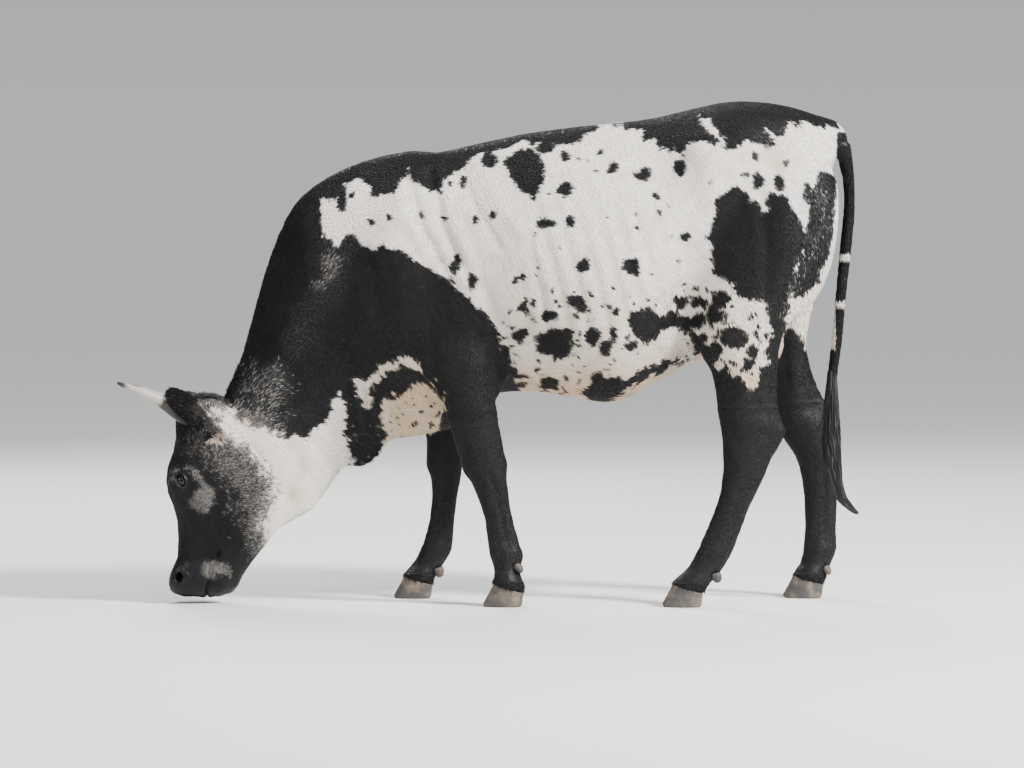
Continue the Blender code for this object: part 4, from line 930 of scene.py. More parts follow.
@dataclass
class Anatomy:
    """Where things are on the cow, worked out from the frame."""

    head: HeadFrame
    neck_plane: Triple = (0.65, 0.76, 0.4495 * 0.76 - 0.610 * 0.65)
    """The cut behind the head: share of X, share of Z and their sum there."""
    ear_base: Triple = (-0.742, -0.078, 0.453)
    ear_tip: Triple = (-0.8645, -0.2143, 0.5816)
    ear_cup: Triple = (-0.10, -0.55, -0.82)
    """Which way the left ear's open cup looks."""
    trunk_start: tuple[float, float] = (-0.378, 0.780)
    trunk_way: tuple[float, float] = (0.9956, 0.0935)
    """A place on the cut before the chest and the way across it, as X and height."""
    fore_box: Triple = (0.30, 0.07, 0.515)
    """The forelegs: how far along from the middle, how far aside from, and height up to."""
    hind_box: tuple[float, float] = (0.40, 0.60)
    """The hind legs: X from and height up to."""
    tail_box: Triple = (0.925, 0.034, 1.235)
    """The tail: X from, how far aside to, and height up to."""
    udder_roundness: float = 0.65

    def ear_line(self, side: Side) -> Array:
        """The middle line of an ear, from its base to its tip."""
        ends = (self.ear_base, self.ear_tip)
        return np.array([self.head.place(x, -side.value * y, z) for x, y, z in ends])

    def ear_facing(self, side: Side) -> Array:
        """Which way the open cup of an ear looks."""
        turn = np.array(self.head.matrix)[:3, :3]
        return turn @ (np.array(self.ear_cup) * (1, -side.value, 1))

    def along_ear(self, points: Array, side: Side) -> tuple[Array, Array]:
        """The share of the way along an ear, and the distance from its middle line."""
        base, tip = self.ear_line(side)
        way = tip - base
        return (points - base) @ way / (way @ way), line_distance(points, np.array([base, tip]))

    def on_ear(self, points: Array, side: Side) -> Array:
        """How far each point belongs to an ear, from 0 to 1."""
        share, distance = self.along_ear(points, side)
        return smooth_step(0.18, 0.30, share) * smooth_step(0.075, 0.062, distance)

    def on_head(self, points: Array) -> Array:
        """How far each point belongs to the head, from 0 at the neck to 1."""
        a, b, c = self.neck_plane
        before = c - (points[:, 0] - self.head.shift.x) * a - points[:, 2] * b
        return smooth_step(-0.02, 0.04, before) * (points[:, 0] < -0.48)

    def muzzle(self, points: Array) -> Array:
        """How far each point belongs to the bare nose and lips."""
        x, _, z = self.head.upright(points).T
        nose = smooth_step(0.082, 0.068, z - 0.55 * (x + 0.888)) * smooth_step(-0.775, -0.80, x)
        lips = smooth_step(0.050, 0.036, z) * (x < -0.70)
        return np.clip(nose + lips, 0, 1) * self.on_head(points)

    def on_udder(self, points: Array) -> Array:
        """How far each point belongs to the bare udder."""
        low, high = (np.array(corner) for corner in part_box("udder"))
        middle, half = (low + high) / 2, (high - low) / 2
        half[2] = half[0] * self.udder_roundness
        middle[2] = high[2] - half[2]
        reach = np.linalg.norm((points - middle) / half, axis=1)
        teats = (points[:, 2] < middle[2]) & (np.abs(points[:, 1]) < 0.06) & (reach < 1.6)
        inside = smooth_step(1.16, 1.04, reach)
        return np.maximum(inside, teats * 1.0)

    def region_of(self, points: Array) -> Array:
        """The number of each point's region in the Region list."""
        order = list(Region)
        x, z = self.head.seen(points).T
        y = points[:, 1]
        chest_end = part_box("barrel")[0][0] - self.head.shift.x
        barrel_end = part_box("rump")[0][0] - self.head.shift.x
        found = np.full(len(points), order.index(Region.NECK))

        def put(where: Array, *halves: Region, left: Array = y < 0) -> None:
            """Marks the points of one region, or of a left and a right one."""
            for region, half in zip(halves, (left, ~left) if len(halves) > 1 else (True,)):
                found[where & half] = order.index(region)

        ahead, up = x - self.trunk_start[0], z - self.trunk_start[1]
        trunk = ahead * self.trunk_way[0] + up * self.trunk_way[1] > 0
        put(trunk, Region.CHEST_LEFT, Region.CHEST_RIGHT)
        put(trunk & (x > chest_end), Region.BARREL_LEFT, Region.BARREL_RIGHT)
        put(trunk & (x > barrel_end), Region.RUMP_LEFT, Region.RUMP_RIGHT)
        reach, inner, top = self.fore_box
        fore = trunk & (np.abs(x) < reach) & (np.abs(y) > inner) & (z < top)
        put(fore, Region.FORE_LEFT, Region.FORE_RIGHT)
        put(trunk & (x > self.hind_box[0]) & (z < self.hind_box[1]), Region.HIND_LEFT, Region.HIND_RIGHT)
        start, aside, top = self.tail_box
        put((x > start) & (np.abs(y) < aside) & (z < top), Region.TAIL)
        upright_left = self.head.upright(points)[:, 1] < 0
        put(self.on_head(points) > 0.4, Region.HEAD_LEFT, Region.HEAD_RIGHT, left=upright_left)
        put(self.on_ear(points, Side.NEAR) > 0.5, Region.EAR_LEFT)
        put(self.on_ear(points, Side.FAR) > 0.5, Region.EAR_RIGHT)
        put((self.muzzle(points) > 0.5) | (self.on_udder(points) > 0.5), Region.BARE)
        return found


Ridge = tuple[Sequence[Sequence[float]], float, float]
"""A line, seen from the side or in space, and how wide and how high the skin rises along it."""

MOUTH_LINE = ((-0.790, -0.01), (-0.778, 0.045), (-0.768, 0.085), (-0.755, 0.122), (-0.744, 0.140))
"""The line between the lips in the upright head, seen from the side."""
MOUTH_TOP = 0.16
BEHIND_HEAD = -0.6


def lip(aside: float) -> list[tuple[float, float]]:
    """A line beside the lower part of the mouth's line."""
    return [(x + aside, z) for x, z in MOUTH_LINE[:3]]


def eye_creases() -> list[Ridge]:
    """Three creases over the eye and one under it."""
    x, y, z = EYE_IN_HEAD
    turns = np.linspace(0.15, 1.0, 7) * math.pi - 1.0
    creases = []
    for reach, rise in ((0.031, -0.0022), (0.037, 0.0012), (0.043, -0.0010)):
        arc = [(x - reach * math.cos(turn) * 0.9, y, z + reach * math.sin(turn)) for turn in turns]
        creases.append((arc, 0.0035, rise))
    under = ((x - 0.018, y, z - 0.030), (x + 0.004, y, z - 0.028), (x + 0.022, y, z - 0.012))
    return [*creases, (under, 0.004, -0.0016)]


HEAD_RIDGES = (
    # the line of the mouth, the lips beside it and its corner
    (MOUTH_LINE, 0.0032, -0.0065),
    (lip(-0.011), 0.0070, 0.0024),
    (lip(0.011), 0.0070, 0.0022),
    (((-0.748, 0.132), (-0.738, 0.150)), 0.007, -0.0025),
    # the crest of the cheek, the edge of the jaw muscle and the bone over the eye
    (((-0.855, -0.08, 0.285), (-0.820, -0.08, 0.215), (-0.800, -0.08, 0.165)), 0.013, 0.0034),
    (((-0.740, -0.09, 0.385), (-0.700, -0.09, 0.300), (-0.715, -0.08, 0.215)), 0.016, 0.0030),
    (((-0.775, -0.09, 0.330), (-0.755, -0.09, 0.260), (-0.760, -0.08, 0.200)), 0.014, -0.0032),
    (((-0.880, -0.075, 0.345), (-0.862, -0.085, 0.375), (-0.835, -0.092, 0.385)), 0.010, 0.0034),
    (((-0.822, -0.085, 0.400), (-0.800, -0.080, 0.430)), 0.016, -0.0040),
    # the raised wing of the nostril, and the crease behind it
    (((-0.872, -0.058, 0.083), (-0.852, -0.066, 0.092), (-0.834, -0.070, 0.080), (-0.838, -0.073, 0.060)),
     0.0055, 0.0035),
    (((-0.826, -0.07, 0.102), (-0.818, -0.074, 0.080), (-0.824, -0.074, 0.055)), 0.004, -0.0022),
    *eye_creases(),
    # a vein of the face
    (((-0.812, -0.09, 0.285), (-0.800, -0.085, 0.235), (-0.775, -0.08, 0.190)), 0.0045, 0.0014),
)

# The folds and the edges of muscles of the body, seen from the side
FOLDS = (
    # the throat and the neck, which gather behind the jaw
    (((-0.640, 0.530), (-0.560, 0.430), (-0.500, 0.330)), 0.016, -0.0035),
    (((-0.600, 0.590), (-0.520, 0.480), (-0.455, 0.370)), 0.016, -0.0030),
    (((-0.560, 0.660), (-0.480, 0.540), (-0.415, 0.410)), 0.018, -0.0025),
    (((-0.620, 0.560), (-0.540, 0.455), (-0.480, 0.350)), 0.014, 0.0022),
    # the long muscle of the neck, and the groove under it
    (((-0.560, 0.720), (-0.420, 0.800), (-0.300, 0.900)), 0.045, 0.0040),
    (((-0.560, 0.600), (-0.440, 0.680), (-0.330, 0.730)), 0.030, -0.0045),
    # the loose skin of the brisket
    (((-0.385, 0.60), (-0.355, 0.44)), 0.012, -0.0066),
    (((-0.345, 0.60), (-0.320, 0.43)), 0.012, -0.0066),
    (((-0.300, 0.56), (-0.285, 0.44)), 0.011, -0.0040),
    # the blade of the shoulder, its edges and the skin that gathers over them
    (((-0.270, 1.150), (-0.230, 1.050), (-0.165, 0.940)), 0.016, 0.0066),
    (((-0.228, 1.170), (-0.198, 1.040), (-0.140, 0.940)), 0.011, -0.0064),
    (((-0.200, 1.180), (-0.172, 1.040), (-0.120, 0.950), (-0.070, 0.870)), 0.014, 0.0070),
    (((-0.168, 1.180), (-0.138, 1.040), (-0.090, 0.930)), 0.011, -0.0066),
    (((-0.135, 1.180), (-0.108, 1.050), (-0.060, 0.940)), 0.014, 0.0062),
    (((-0.085, 1.190), (-0.045, 1.080), (0.020, 0.980)), 0.013, -0.0056),
    (((-0.040, 1.200), (0.020, 1.090), (0.080, 1.010)), 0.018, 0.0050),
    (((-0.330, 0.930), (-0.300, 0.800), (-0.310, 0.690)), 0.024, -0.0050),
    (((-0.250, 0.880), (-0.220, 0.760), (-0.230, 0.660)), 0.040, 0.0050),
    # the muscle behind the upper arm, and the hollow behind the elbow
    (((-0.110, 0.830), (-0.060, 0.730), (-0.050, 0.640)), 0.030, 0.0045),
    (((-0.020, 0.860), (0.020, 0.760), (0.035, 0.660)), 0.022, -0.0060),
    (((-0.170, 0.780), (-0.150, 0.660), (-0.160, 0.560)), 0.014, -0.0035),
    (((0.065, 0.720), (0.050, 0.600)), 0.010, -0.0030),
    # the hollow of the flank, and the fold before the stifle
    (((0.535, 0.960), (0.525, 0.870), (0.530, 0.790)), 0.036, -0.0120),
    (((0.488, 0.950), (0.478, 0.870), (0.488, 0.790)), 0.020, 0.0056),
    (((0.520, 0.860), (0.560, 0.700)), 0.014, -0.0035),
    (((0.485, 0.840), (0.520, 0.690)), 0.012, -0.0030),
    # hip bone, thigh muscles and the groove between them
    (((0.545, 1.235), (0.580, 1.215)), 0.032, 0.0080),
    (((0.590, 1.150), (0.620, 1.040), (0.640, 0.930)), 0.040, 0.0060),
    (((0.720, 1.120), (0.740, 1.000), (0.740, 0.880), (0.730, 0.780)), 0.016, -0.0050),
    (((0.800, 1.120), (0.800, 1.000), (0.780, 0.880)), 0.036, 0.0045),
    (((0.640, 0.800), (0.620, 0.740)), 0.030, 0.0050),
    (((0.690, 0.780), (0.680, 0.700), (0.690, 0.620)), 0.014, -0.0035),
)


def raised(places: Array, ridges: Sequence[Ridge]) -> Array:
    """How far ridges raise each place, less and less away from their lines."""
    height = np.zeros(len(places))
    for line, width, rise in ridges:
        route = np.array(line)
        near = places if route.shape[1] == places.shape[1] else places[:, [0, 2]]
        height += np.exp(-((line_distance(near, route) / width) ** 2)) * rise
    return height


@dataclass
class Hide:
    """The one skin that takes the place of all the solids of flesh."""

    anatomy: Anatomy
    voxel: float = 0.0036
    seam_overlap: float = 0.0005
    ear_fill: float = 0.0011
    triangles: int = 170000
    roughness: tuple[float, float] = (0.0003, 0.0012)
    """How far points are moved before faces are taken away, on plain forms and on fine ones."""
    coat_depth: float = 0.0028
    mended: tuple[tuple[tuple[float, float], float, int], ...] = (((-0.564, 0.210), 0.065, 70),)
    """Where two solids meet in a notch: X and height, how far it is smoothed, and how many times."""
    apart: tuple[str, ...] = ("eye", "horn", "claw", "dewclaw", "tail_switch")
    details: tuple[tuple[Triple, float], ...] = (
        (tuple(EYE_IN_HEAD), 0.040),
        ((-0.852, -0.066, 0.080), 0.034),
    )
    """The eye and the nostril in the upright head, and how far round each the faces are split."""
    mouth_reach: float = 0.011
    rib_rise: float = 0.0024
    rib_gap: float = 0.052
    tendons: tuple[Triple, ...] = ((0.22, 0.15, -0.0030), (0.62, 0.20, 0.0014))
    """The groove and the tendon of a cannon: place from -1 in front to 1 behind, width and rise."""

    def flesh(self) -> list[str]:
        """The nodes that the skin stands for."""
        return [name for name in frame["nodes"] if not name.startswith(self.apart)]

    def fused(self) -> Piece:
        """The solids of flesh as one closed surface."""
        copies = []
        for name in self.flesh():
            copy = copy_node(name)
            grow = self.ear_fill if name.startswith("ear") else self.seam_overlap
            apply_modifier(copy, "DISPLACE", strength=grow, mid_level=0.0)
            copies.append(copy)
        choose(*copies)
        bpy.ops.object.join()
        hide = bpy.context.view_layer.objects.active
        hide.name = hide.data.name = "hide"
        apply_modifier(hide, "REMESH", mode="VOXEL", voxel_size=self.voxel)
        return hide

    def fineness(self, points: Array) -> Array:
        """1 where the skin needs small faces: head, ears, feet and tail."""
        anatomy = self.anatomy
        fine = np.maximum(anatomy.on_head(points), 0.25 * smooth_step(0.20, 0.12, points[:, 2]))
        before = points[:, 0] < BEHIND_HEAD
        for side in Side:
            share, _ = anatomy.along_ear(points, side)
            fine = np.maximum(fine, smooth_step(-0.1, 0.0, share) * before)
        return np.maximum(fine, 0.5 * (points[:, 0] > 0.92 + anatomy.head.shift.x))

    def thin_out(self, hide: Piece) -> None:
        """Takes faces away. A slight roughness, smoothed off later, lets flat forms keep theirs."""
        points, normals = points_of(hide), normals_of(hide)
        rough = self.roughness[0] + (self.roughness[1] - self.roughness[0]) * self.fineness(points)
        rough *= np.random.default_rng(31).uniform(-1, 1, len(points))
        set_points(hide, points + normals * rough[:, None])
        apply_modifier(hide, "DECIMATE", ratio=self.triangles / (2 * len(hide.data.polygons)))

    def refine(self, hide: Piece) -> None:
        """Splits the faces round the eyes, the nostrils and the mouth."""
        centres = np.empty(len(hide.data.polygons) * 3, np.float32)
        hide.data.polygons.foreach_get("center", centres)
        places = self.anatomy.head.folded(centres.reshape(-1, 3).astype(float))
        chosen = line_distance(places[:, [0, 2]], np.array(MOUTH_LINE)) < self.mouth_reach
        chosen &= places[:, 2] < MOUTH_TOP
        for place, reach in self.details:
            chosen |= np.linalg.norm(places - place, axis=1) < reach
        choose(hide)
        bpy.ops.object.mode_set(mode="EDIT")
        bpy.ops.mesh.select_mode(type="FACE")
        bpy.ops.mesh.select_all(action="DESELECT")
        bpy.ops.object.mode_set(mode="OBJECT")
        hide.data.polygons.foreach_set("select", chosen & (places[:, 0] < BEHIND_HEAD))
        bpy.ops.object.mode_set(mode="EDIT")
        bpy.ops.mesh.subdivide(number_cuts=1)
        bpy.ops.mesh.select_all(action="SELECT")
        bpy.ops.mesh.quads_convert_to_tris()
        bpy.ops.object.mode_set(mode="OBJECT")

    def smooth(self, hide: Piece, share: Array, rounds: int, back: float = -0.52) -> None:
        """Smooths the surface and keeps its volume.

        Args:
            hide: the skin.
            share: how far each vertex takes part, from 0 to 1.
            rounds: how many times.
            back: the step that gives the volume back.
        """
        edges = np.empty(len(hide.data.edges) * 2, np.int32)
        hide.data.edges.foreach_get("vertices", edges)
        a, b = edges.reshape(-1, 2).T
        points = points_of(hide)
        total = len(points)
        count = np.bincount(a, minlength=total) + np.bincount(b, minlength=total)
        for factor in (0.5, back) * rounds:
            at_a, at_b = points[b].T, points[a].T
            summed = [np.bincount(a, at_a[k], total) + np.bincount(b, at_b[k], total) for k in range(3)]
            middle = np.stack(summed, axis=1) / np.maximum(count, 1)[:, None]
            points += (middle - points) * (factor * share)[:, None]
        set_points(hide, points)

    def sink(self, hide: Piece) -> None:
        """Lowers the skin by the depth of the coat, less where the hair is short or there is none."""
        points, normals = points_of(hide), normals_of(hide)
        anatomy = self.anatomy
        depth = np.full(len(points), self.coat_depth)
        depth = np.where(points[:, 2] < 0.55, self.coat_depth * 0.5, depth)
        depth *= 1 - 0.6 * anatomy.on_head(points)
        depth *= 1 - anatomy.muzzle(points)
        depth *= 1 - 0.7 * anatomy.on_udder(points)
        for side in Side:
            depth *= 1 - anatomy.on_ear(points, side)
        set_points(hide, points - normals * depth[:, None])

    def sculpt(self, hide: Piece) -> None:
        """Gives the head its lips, nostrils and creases, and the body its folds, ribs and tendons."""
        points, normals = points_of(hide), normals_of(hide)
        face = raised(self.anatomy.head.folded(points), HEAD_RIDGES) * self.anatomy.on_head(points)
        points += normals * face[:, None]
        seen = self.anatomy.head.seen(points)
        fold = raised(seen, FOLDS)
        fold *= smooth_step(0.015, 0.05, np.abs(points[:, 1]))
        fold += self.ribs(seen) + self.tendon_rise(points)
        set_points(hide, points + normals * fold[:, None])

    def ribs(self, seen: Array) -> Array:
        """The ribs, just felt under the hide, as heights over the skin."""
        x, z = seen.T
        share = smooth_step(0.06, 0.14, x) * smooth_step(0.52, 0.44, x) * smooth_step(0.66, 0.80, z)
        share *= smooth_step(1.18, 1.05, z)
        return share * self.rib_rise * np.sin((x - 0.28 * (1.0 - z)) * math.tau / self.rib_gap)

    def tendon_rise(self, points: Array) -> Array:
        """The grooves between bone and tendon on every cannon, as heights over the skin."""
        height = np.zeros(len(points))
        for foot in Foot:
            low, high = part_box(f"cannon_{foot.value}")
            mine = np.abs(points[:, 0] - (low[0] + high[0]) / 2) < (high[0] - low[0]) / 2 + 0.02
            mine &= (points[:, 1] < 0) == (low[1] < 0)
            mine &= (points[:, 2] > 0.10) & (points[:, 2] < 0.50)
            chosen = np.flatnonzero(mine)
            x, z = points[chosen, 0], points[chosen, 2]
            level = np.rint(z / 0.01).astype(int)
            front, back = np.full(60, np.inf), np.full(60, -np.inf)
            np.minimum.at(front, level, x)
            np.maximum.at(back, level, x)
            steps = np.flatnonzero(front < back)
            first, last = (np.interp(z * 100, steps, edge[steps]) for edge in (front, back))
            across = 2 * (x - first) / (last - first) - 1
            window = smooth_step(0.13, 0.19, z) * smooth_step(0.40, 0.33, z)
            waves = [rise * np.exp(-(((across - at) / width) ** 2)) for at, width, rise in self.tendons]
            height[chosen] = sum(waves) * window
        return height

    def mark(self, hide: Piece, markings: Markings) -> None:
        """Stores the markings on the skin."""
        points = points_of(hide)
        values = markings.at(points)
        shown = smooth_step(-0.004, 0.004, values["depth"])
        udder = self.anatomy.on_udder(points)
        bare = np.maximum(udder, self.anatomy.muzzle(points))
        dark = shown * (1 - 0.2 * values["pale"])
        give_values(hide, {"dark": dark, "warm": values["warm"], "shade": values["dull"]})
        give_values(hide, {"bare": bare, "pink": udder})

    def build(self, markings: Markings, finish: CoatFinish) -> Piece:
        """Makes the whole skin.

        Args:
            markings: the coat's black and white.
            finish: its looks.

        Returns:
            The skin, set in the frame's place.
        """
        hide = self.fused()
        self.thin_out(hide)
        self.refine(hide)
        points = points_of(hide)
        fine = self.fineness(points)
        ears = sum(self.anatomy.on_ear(points, side) for side in Side)
        self.smooth(hide, (1 - 0.5 * ears) * (1 - 0.3 * fine), 10)
        self.smooth(hide, np.clip(1 - 2.0 * fine, 0, 1), 24)
        seen = self.anatomy.head.seen(points_of(hide))
        for place, reach, rounds in self.mended:
            self.smooth(hide, np.exp(-(((seen - place) ** 2).sum(axis=1) / reach**2) ** 2), rounds, 0.0)
        self.sink(hide)
        self.sculpt(hide)
        self.smooth(hide, (1 - ears) * (1 - 0.6 * fine), 1)
        hide.data.shade_smooth()
        self.mark(hide, markings)
        return settle(hide, finish.hide(), self.flesh())


# The coat
# Which way the hair lies, as places (X, distance from the middle plane, Z) with directions beside them
LIE_GUIDES = (
    ((-0.80, 0.03, 0.44), (-0.35, 0, 0.95)), ((-0.87, 0.03, 0.38), (-0.2, 0.15, -0.98)),
    ((-0.90, 0.03, 0.26), (0.05, 0.1, -1)), ((-0.91, 0.03, 0.12), (0.1, 0.15, -1)),
    ((-0.83, 0.08, 0.22), (0.45, 0, -0.85)), ((-0.74, 0.08, 0.28), (0.85, 0, -0.35)),
    ((-0.66, 0.06, 0.22), (0.9, 0, 0.1)), ((-0.78, 0.07, 0.12), (0.55, 0, -0.8)),
    ((-0.74, 0.04, 0.05), (0.7, 0, -0.4)), ((-0.70, 0.05, 0.50), (0.6, 0, 0.6)),
    ((-0.66, 0.08, 0.42), (0.75, 0, 0.35)), ((-0.58, 0.04, 0.30), (0.9, 0, 0.2)),
    ((-0.50, 0.09, 0.60), (0.85, 0, -0.1)), ((-0.60, 0.02, 0.68), (0.5, 0, 0.75)),
    ((-0.45, 0.03, 0.95), (0.6, 0, 0.75)), ((-0.40, 0.02, 0.38), (0.85, 0, -0.3)),
    ((-0.25, 0.16, 0.90), (0.75, 0, -0.65)), ((-0.22, 0.18, 0.68), (0.35, 0, -0.95)),
    ((-0.10, 0.15, 0.60), (0.3, 0, -0.95)), ((-0.30, 0.05, 0.45), (0.7, 0, -0.65)),
    ((-0.20, 0.03, 1.22), (0.95, 0, 0.2)), ((0.10, 0.03, 1.28), (1, 0, 0)),
    ((0.10, 0.22, 1.00), (0.9, 0, -0.45)), ((0.15, 0.24, 0.75), (0.95, 0, -0.2)),
    ((0.25, 0.05, 0.56), (1, 0, 0.1)), ((0.50, 0.05, 0.62), (0.9, 0, 0.3)),
    ((0.45, 0.25, 0.95), (0.9, 0, -0.4)), ((0.52, 0.20, 0.78), (0.45, 0, -0.85)),
    ((0.50, 0.05, 1.34), (1, 0, -0.05)), ((0.70, 0.20, 1.20), (0.75, 0, -0.65)),
    ((0.70, 0.24, 0.95), (0.35, 0, -0.95)), ((0.85, 0.15, 0.90), (0.1, 0, -1)),
    ((0.85, 0.05, 1.30), (0.9, 0, -0.4)), ((0.92, 0.06, 1.10), (0, 0, -1)),
    ((0.70, 0.15, 0.68), (0.2, 0, -1)), ((-0.22, 0.14, 0.40), (0.05, 0, -1)),
    ((0.03, 0.14, 0.40), (0.05, 0, -1)), ((-0.22, 0.14, 0.15), (0.05, 0, -1)),
    ((0.03, 0.14, 0.15), (0.05, 0, -1)), ((0.52, 0.15, 0.35), (0, 0, -1)), ((0.86, 0.15, 0.35), (0, 0, -1)),
    ((0.52, 0.15, 0.10), (0, 0, -1)), ((0.86, 0.15, 0.10), (0, 0, -1)), ((0.95, 0.00, 1.00), (0, 0, -1)),
    ((0.93, 0.00, 0.80), (0, 0, -1)),
)


@dataclass(frozen=True)
class Pelt:
    """How the coat grows in one region."""

    cell: float
    """Square millimetres of skin for each tuft."""
    length: float
    half_width: float
    lift: float
    """The height of a tuft's tip over the skin."""


TRUNK = Pelt(17.5, 0.0115, 0.00170, 0.0019)
PELTS = {
    "head": Pelt(4.7, 0.0078, 0.00082, 0.0010),
    "ear": Pelt(7.0, 0.0095, 0.00110, 0.0016),
    "neck": Pelt(16.5, 0.0125, 0.00155, 0.0017),
    "chest": TRUNK,
    "barrel": TRUNK,
    "rump": TRUNK,
    "leg": Pelt(9.0, 0.0100, 0.00095, 0.0005),
    "tail": Pelt(9.0, 0.0140, 0.00130, 0.0024),
}
"""The coats by the first word of the region's name."""


@dataclass
class Roots:
    """Where tufts stand on the skin, and which way they point."""

    places: Array
    normals: Array
    ways: Array


class Skin:
    """The skin's triangles, ready to have tufts scattered on them."""

    GUIDE_BLUR = 0.0004
    """Keeps the nearest guide of the lie from ruling alone, in square metres."""

    def __init__(self, hide: Piece, anatomy: Anatomy) -> None:
        """Reads the skin.

        Args:
            hide: the skin.
            anatomy: where things are on the cow.
        """
        mesh = hide.data
        mesh.calc_loop_triangles()
        corners = np.empty(len(mesh.loop_triangles) * 3, np.int32)
        mesh.loop_triangles.foreach_get("vertices", corners)
        self.points, self.normals = points_of(hide), normals_of(hide)
        self.corners = corners.reshape(-1, 3)
        a, b, c = (self.points[self.corners[:, k]] for k in range(3))
        self.areas = np.linalg.norm(np.cross(b - a, c - a), axis=1) / 2
        self.anatomy = anatomy
        self.regions = anatomy.region_of((a + b + c) / 3)
        self.middles = self.points[self.corners].mean(axis=1)
        self.facing = self.normals[self.corners].mean(axis=1)

    def scatter(self, triangles: Array, cell: float, draw: np.random.Generator) -> tuple[Array, Array]:
        """Places evenly spread over some triangles, with the skin's direction at each.

        Args:
            triangles: the numbers of the triangles.
            cell: square metres for each place.
            draw: the source of the randomness.

        Returns:
            The places and the outward directions there.
        """
        wanted = self.areas[triangles] / cell
        total = np.cumsum(wanted)
        marks = np.arange(int(total[-1])) + draw.uniform(0, 1, int(total[-1])) * 0.9
        picked = triangles[np.searchsorted(total, marks).clip(0, len(triangles) - 1)]
        u, v = draw.random((2, len(picked)))
        folded = u + v > 1
        u, v = np.where(folded, 1 - u, u), np.where(folded, 1 - v, v)
        shares = np.stack([1 - u - v, u, v], axis=1)[:, :, None]
        places = (self.points[self.corners[picked]] * shares).sum(axis=1)
        normals = (self.normals[self.corners[picked]] * shares).sum(axis=1)
        return places, unit(normals)

    def lie(self, places: Array, normals: Array) -> Array:
        """Which way the hair points at places on the skin, flat against it."""
        local = places - np.array(self.anatomy.head.shift)
        side = np.sign(local[:, 1])
        local[:, 1] *= side
        way = np.zeros_like(places)
        for place, towards in LIE_GUIDES:
            weight = 1 / (((local - np.array(place)) ** 2).sum(axis=1) + self.GUIDE_BLUR) ** 2
            way += weight[:, None] * np.array(towards)
        way[:, 1] *= side
        way = unit(way)
        for ear in Side:
            base, tip = self.anatomy.ear_line(ear)
            share = self.anatomy.on_ear(places, ear)[:, None]
            way = way * (1 - share) + share * unit(tip - base)
        return flattened(way, normals)


def turned(ways: Array, normals: Array, angles: Array) -> Array:
    """Directions turned on the skin by an angle each."""
    across = np.cross(normals, ways)
    return ways * np.cos(angles)[:, None] + across * np.sin(angles)[:, None]


def unwrapped(places: Array, axis_start: Array, axis_end: Array) -> Array:
    """Where places lie on a form's own unrolled surface, from 0 to 1 both ways.

    Args:
        places: places on the form.
        axis_start: one end of the form's middle line.
        axis_end: its other end.

    Returns:
        The share of the way along the form and the share of the way round it.
    """
    axis = unit(axis_end - axis_start)
    out = np.cross(axis, SIDEWAYS)
    out = unit(np.cross(axis, (0.0, 0.0, 1.0)) if np.linalg.norm(out) < 0.3 else out)
    away = places - axis_start
    along = away @ axis
    angle = np.arctan2(away @ np.cross(axis, out), away @ out)
    spread = np.stack([along, angle], axis=1)
    low, high = spread.min(axis=0), spread.max(axis=0)
    return UV_START + UV_SPAN * (spread - low) / np.maximum(high - low, 1e-6)


RIDGE_AT = 0.35
"""The share of a tuft's length where its ridge stands."""
TUFT_FACES = np.array(((1, 3, 2), (2, 3, 0), (0, 1, 2), (0, 3, 1)))
"""The tuft's corners are its left and right root, its ridge and its tip."""
TUFT_UV = np.array(((0.0, 1.0), (0.0, 0.0), (RIDGE_AT, 0.5), (1.0, 0.5))) * UV_PATCH


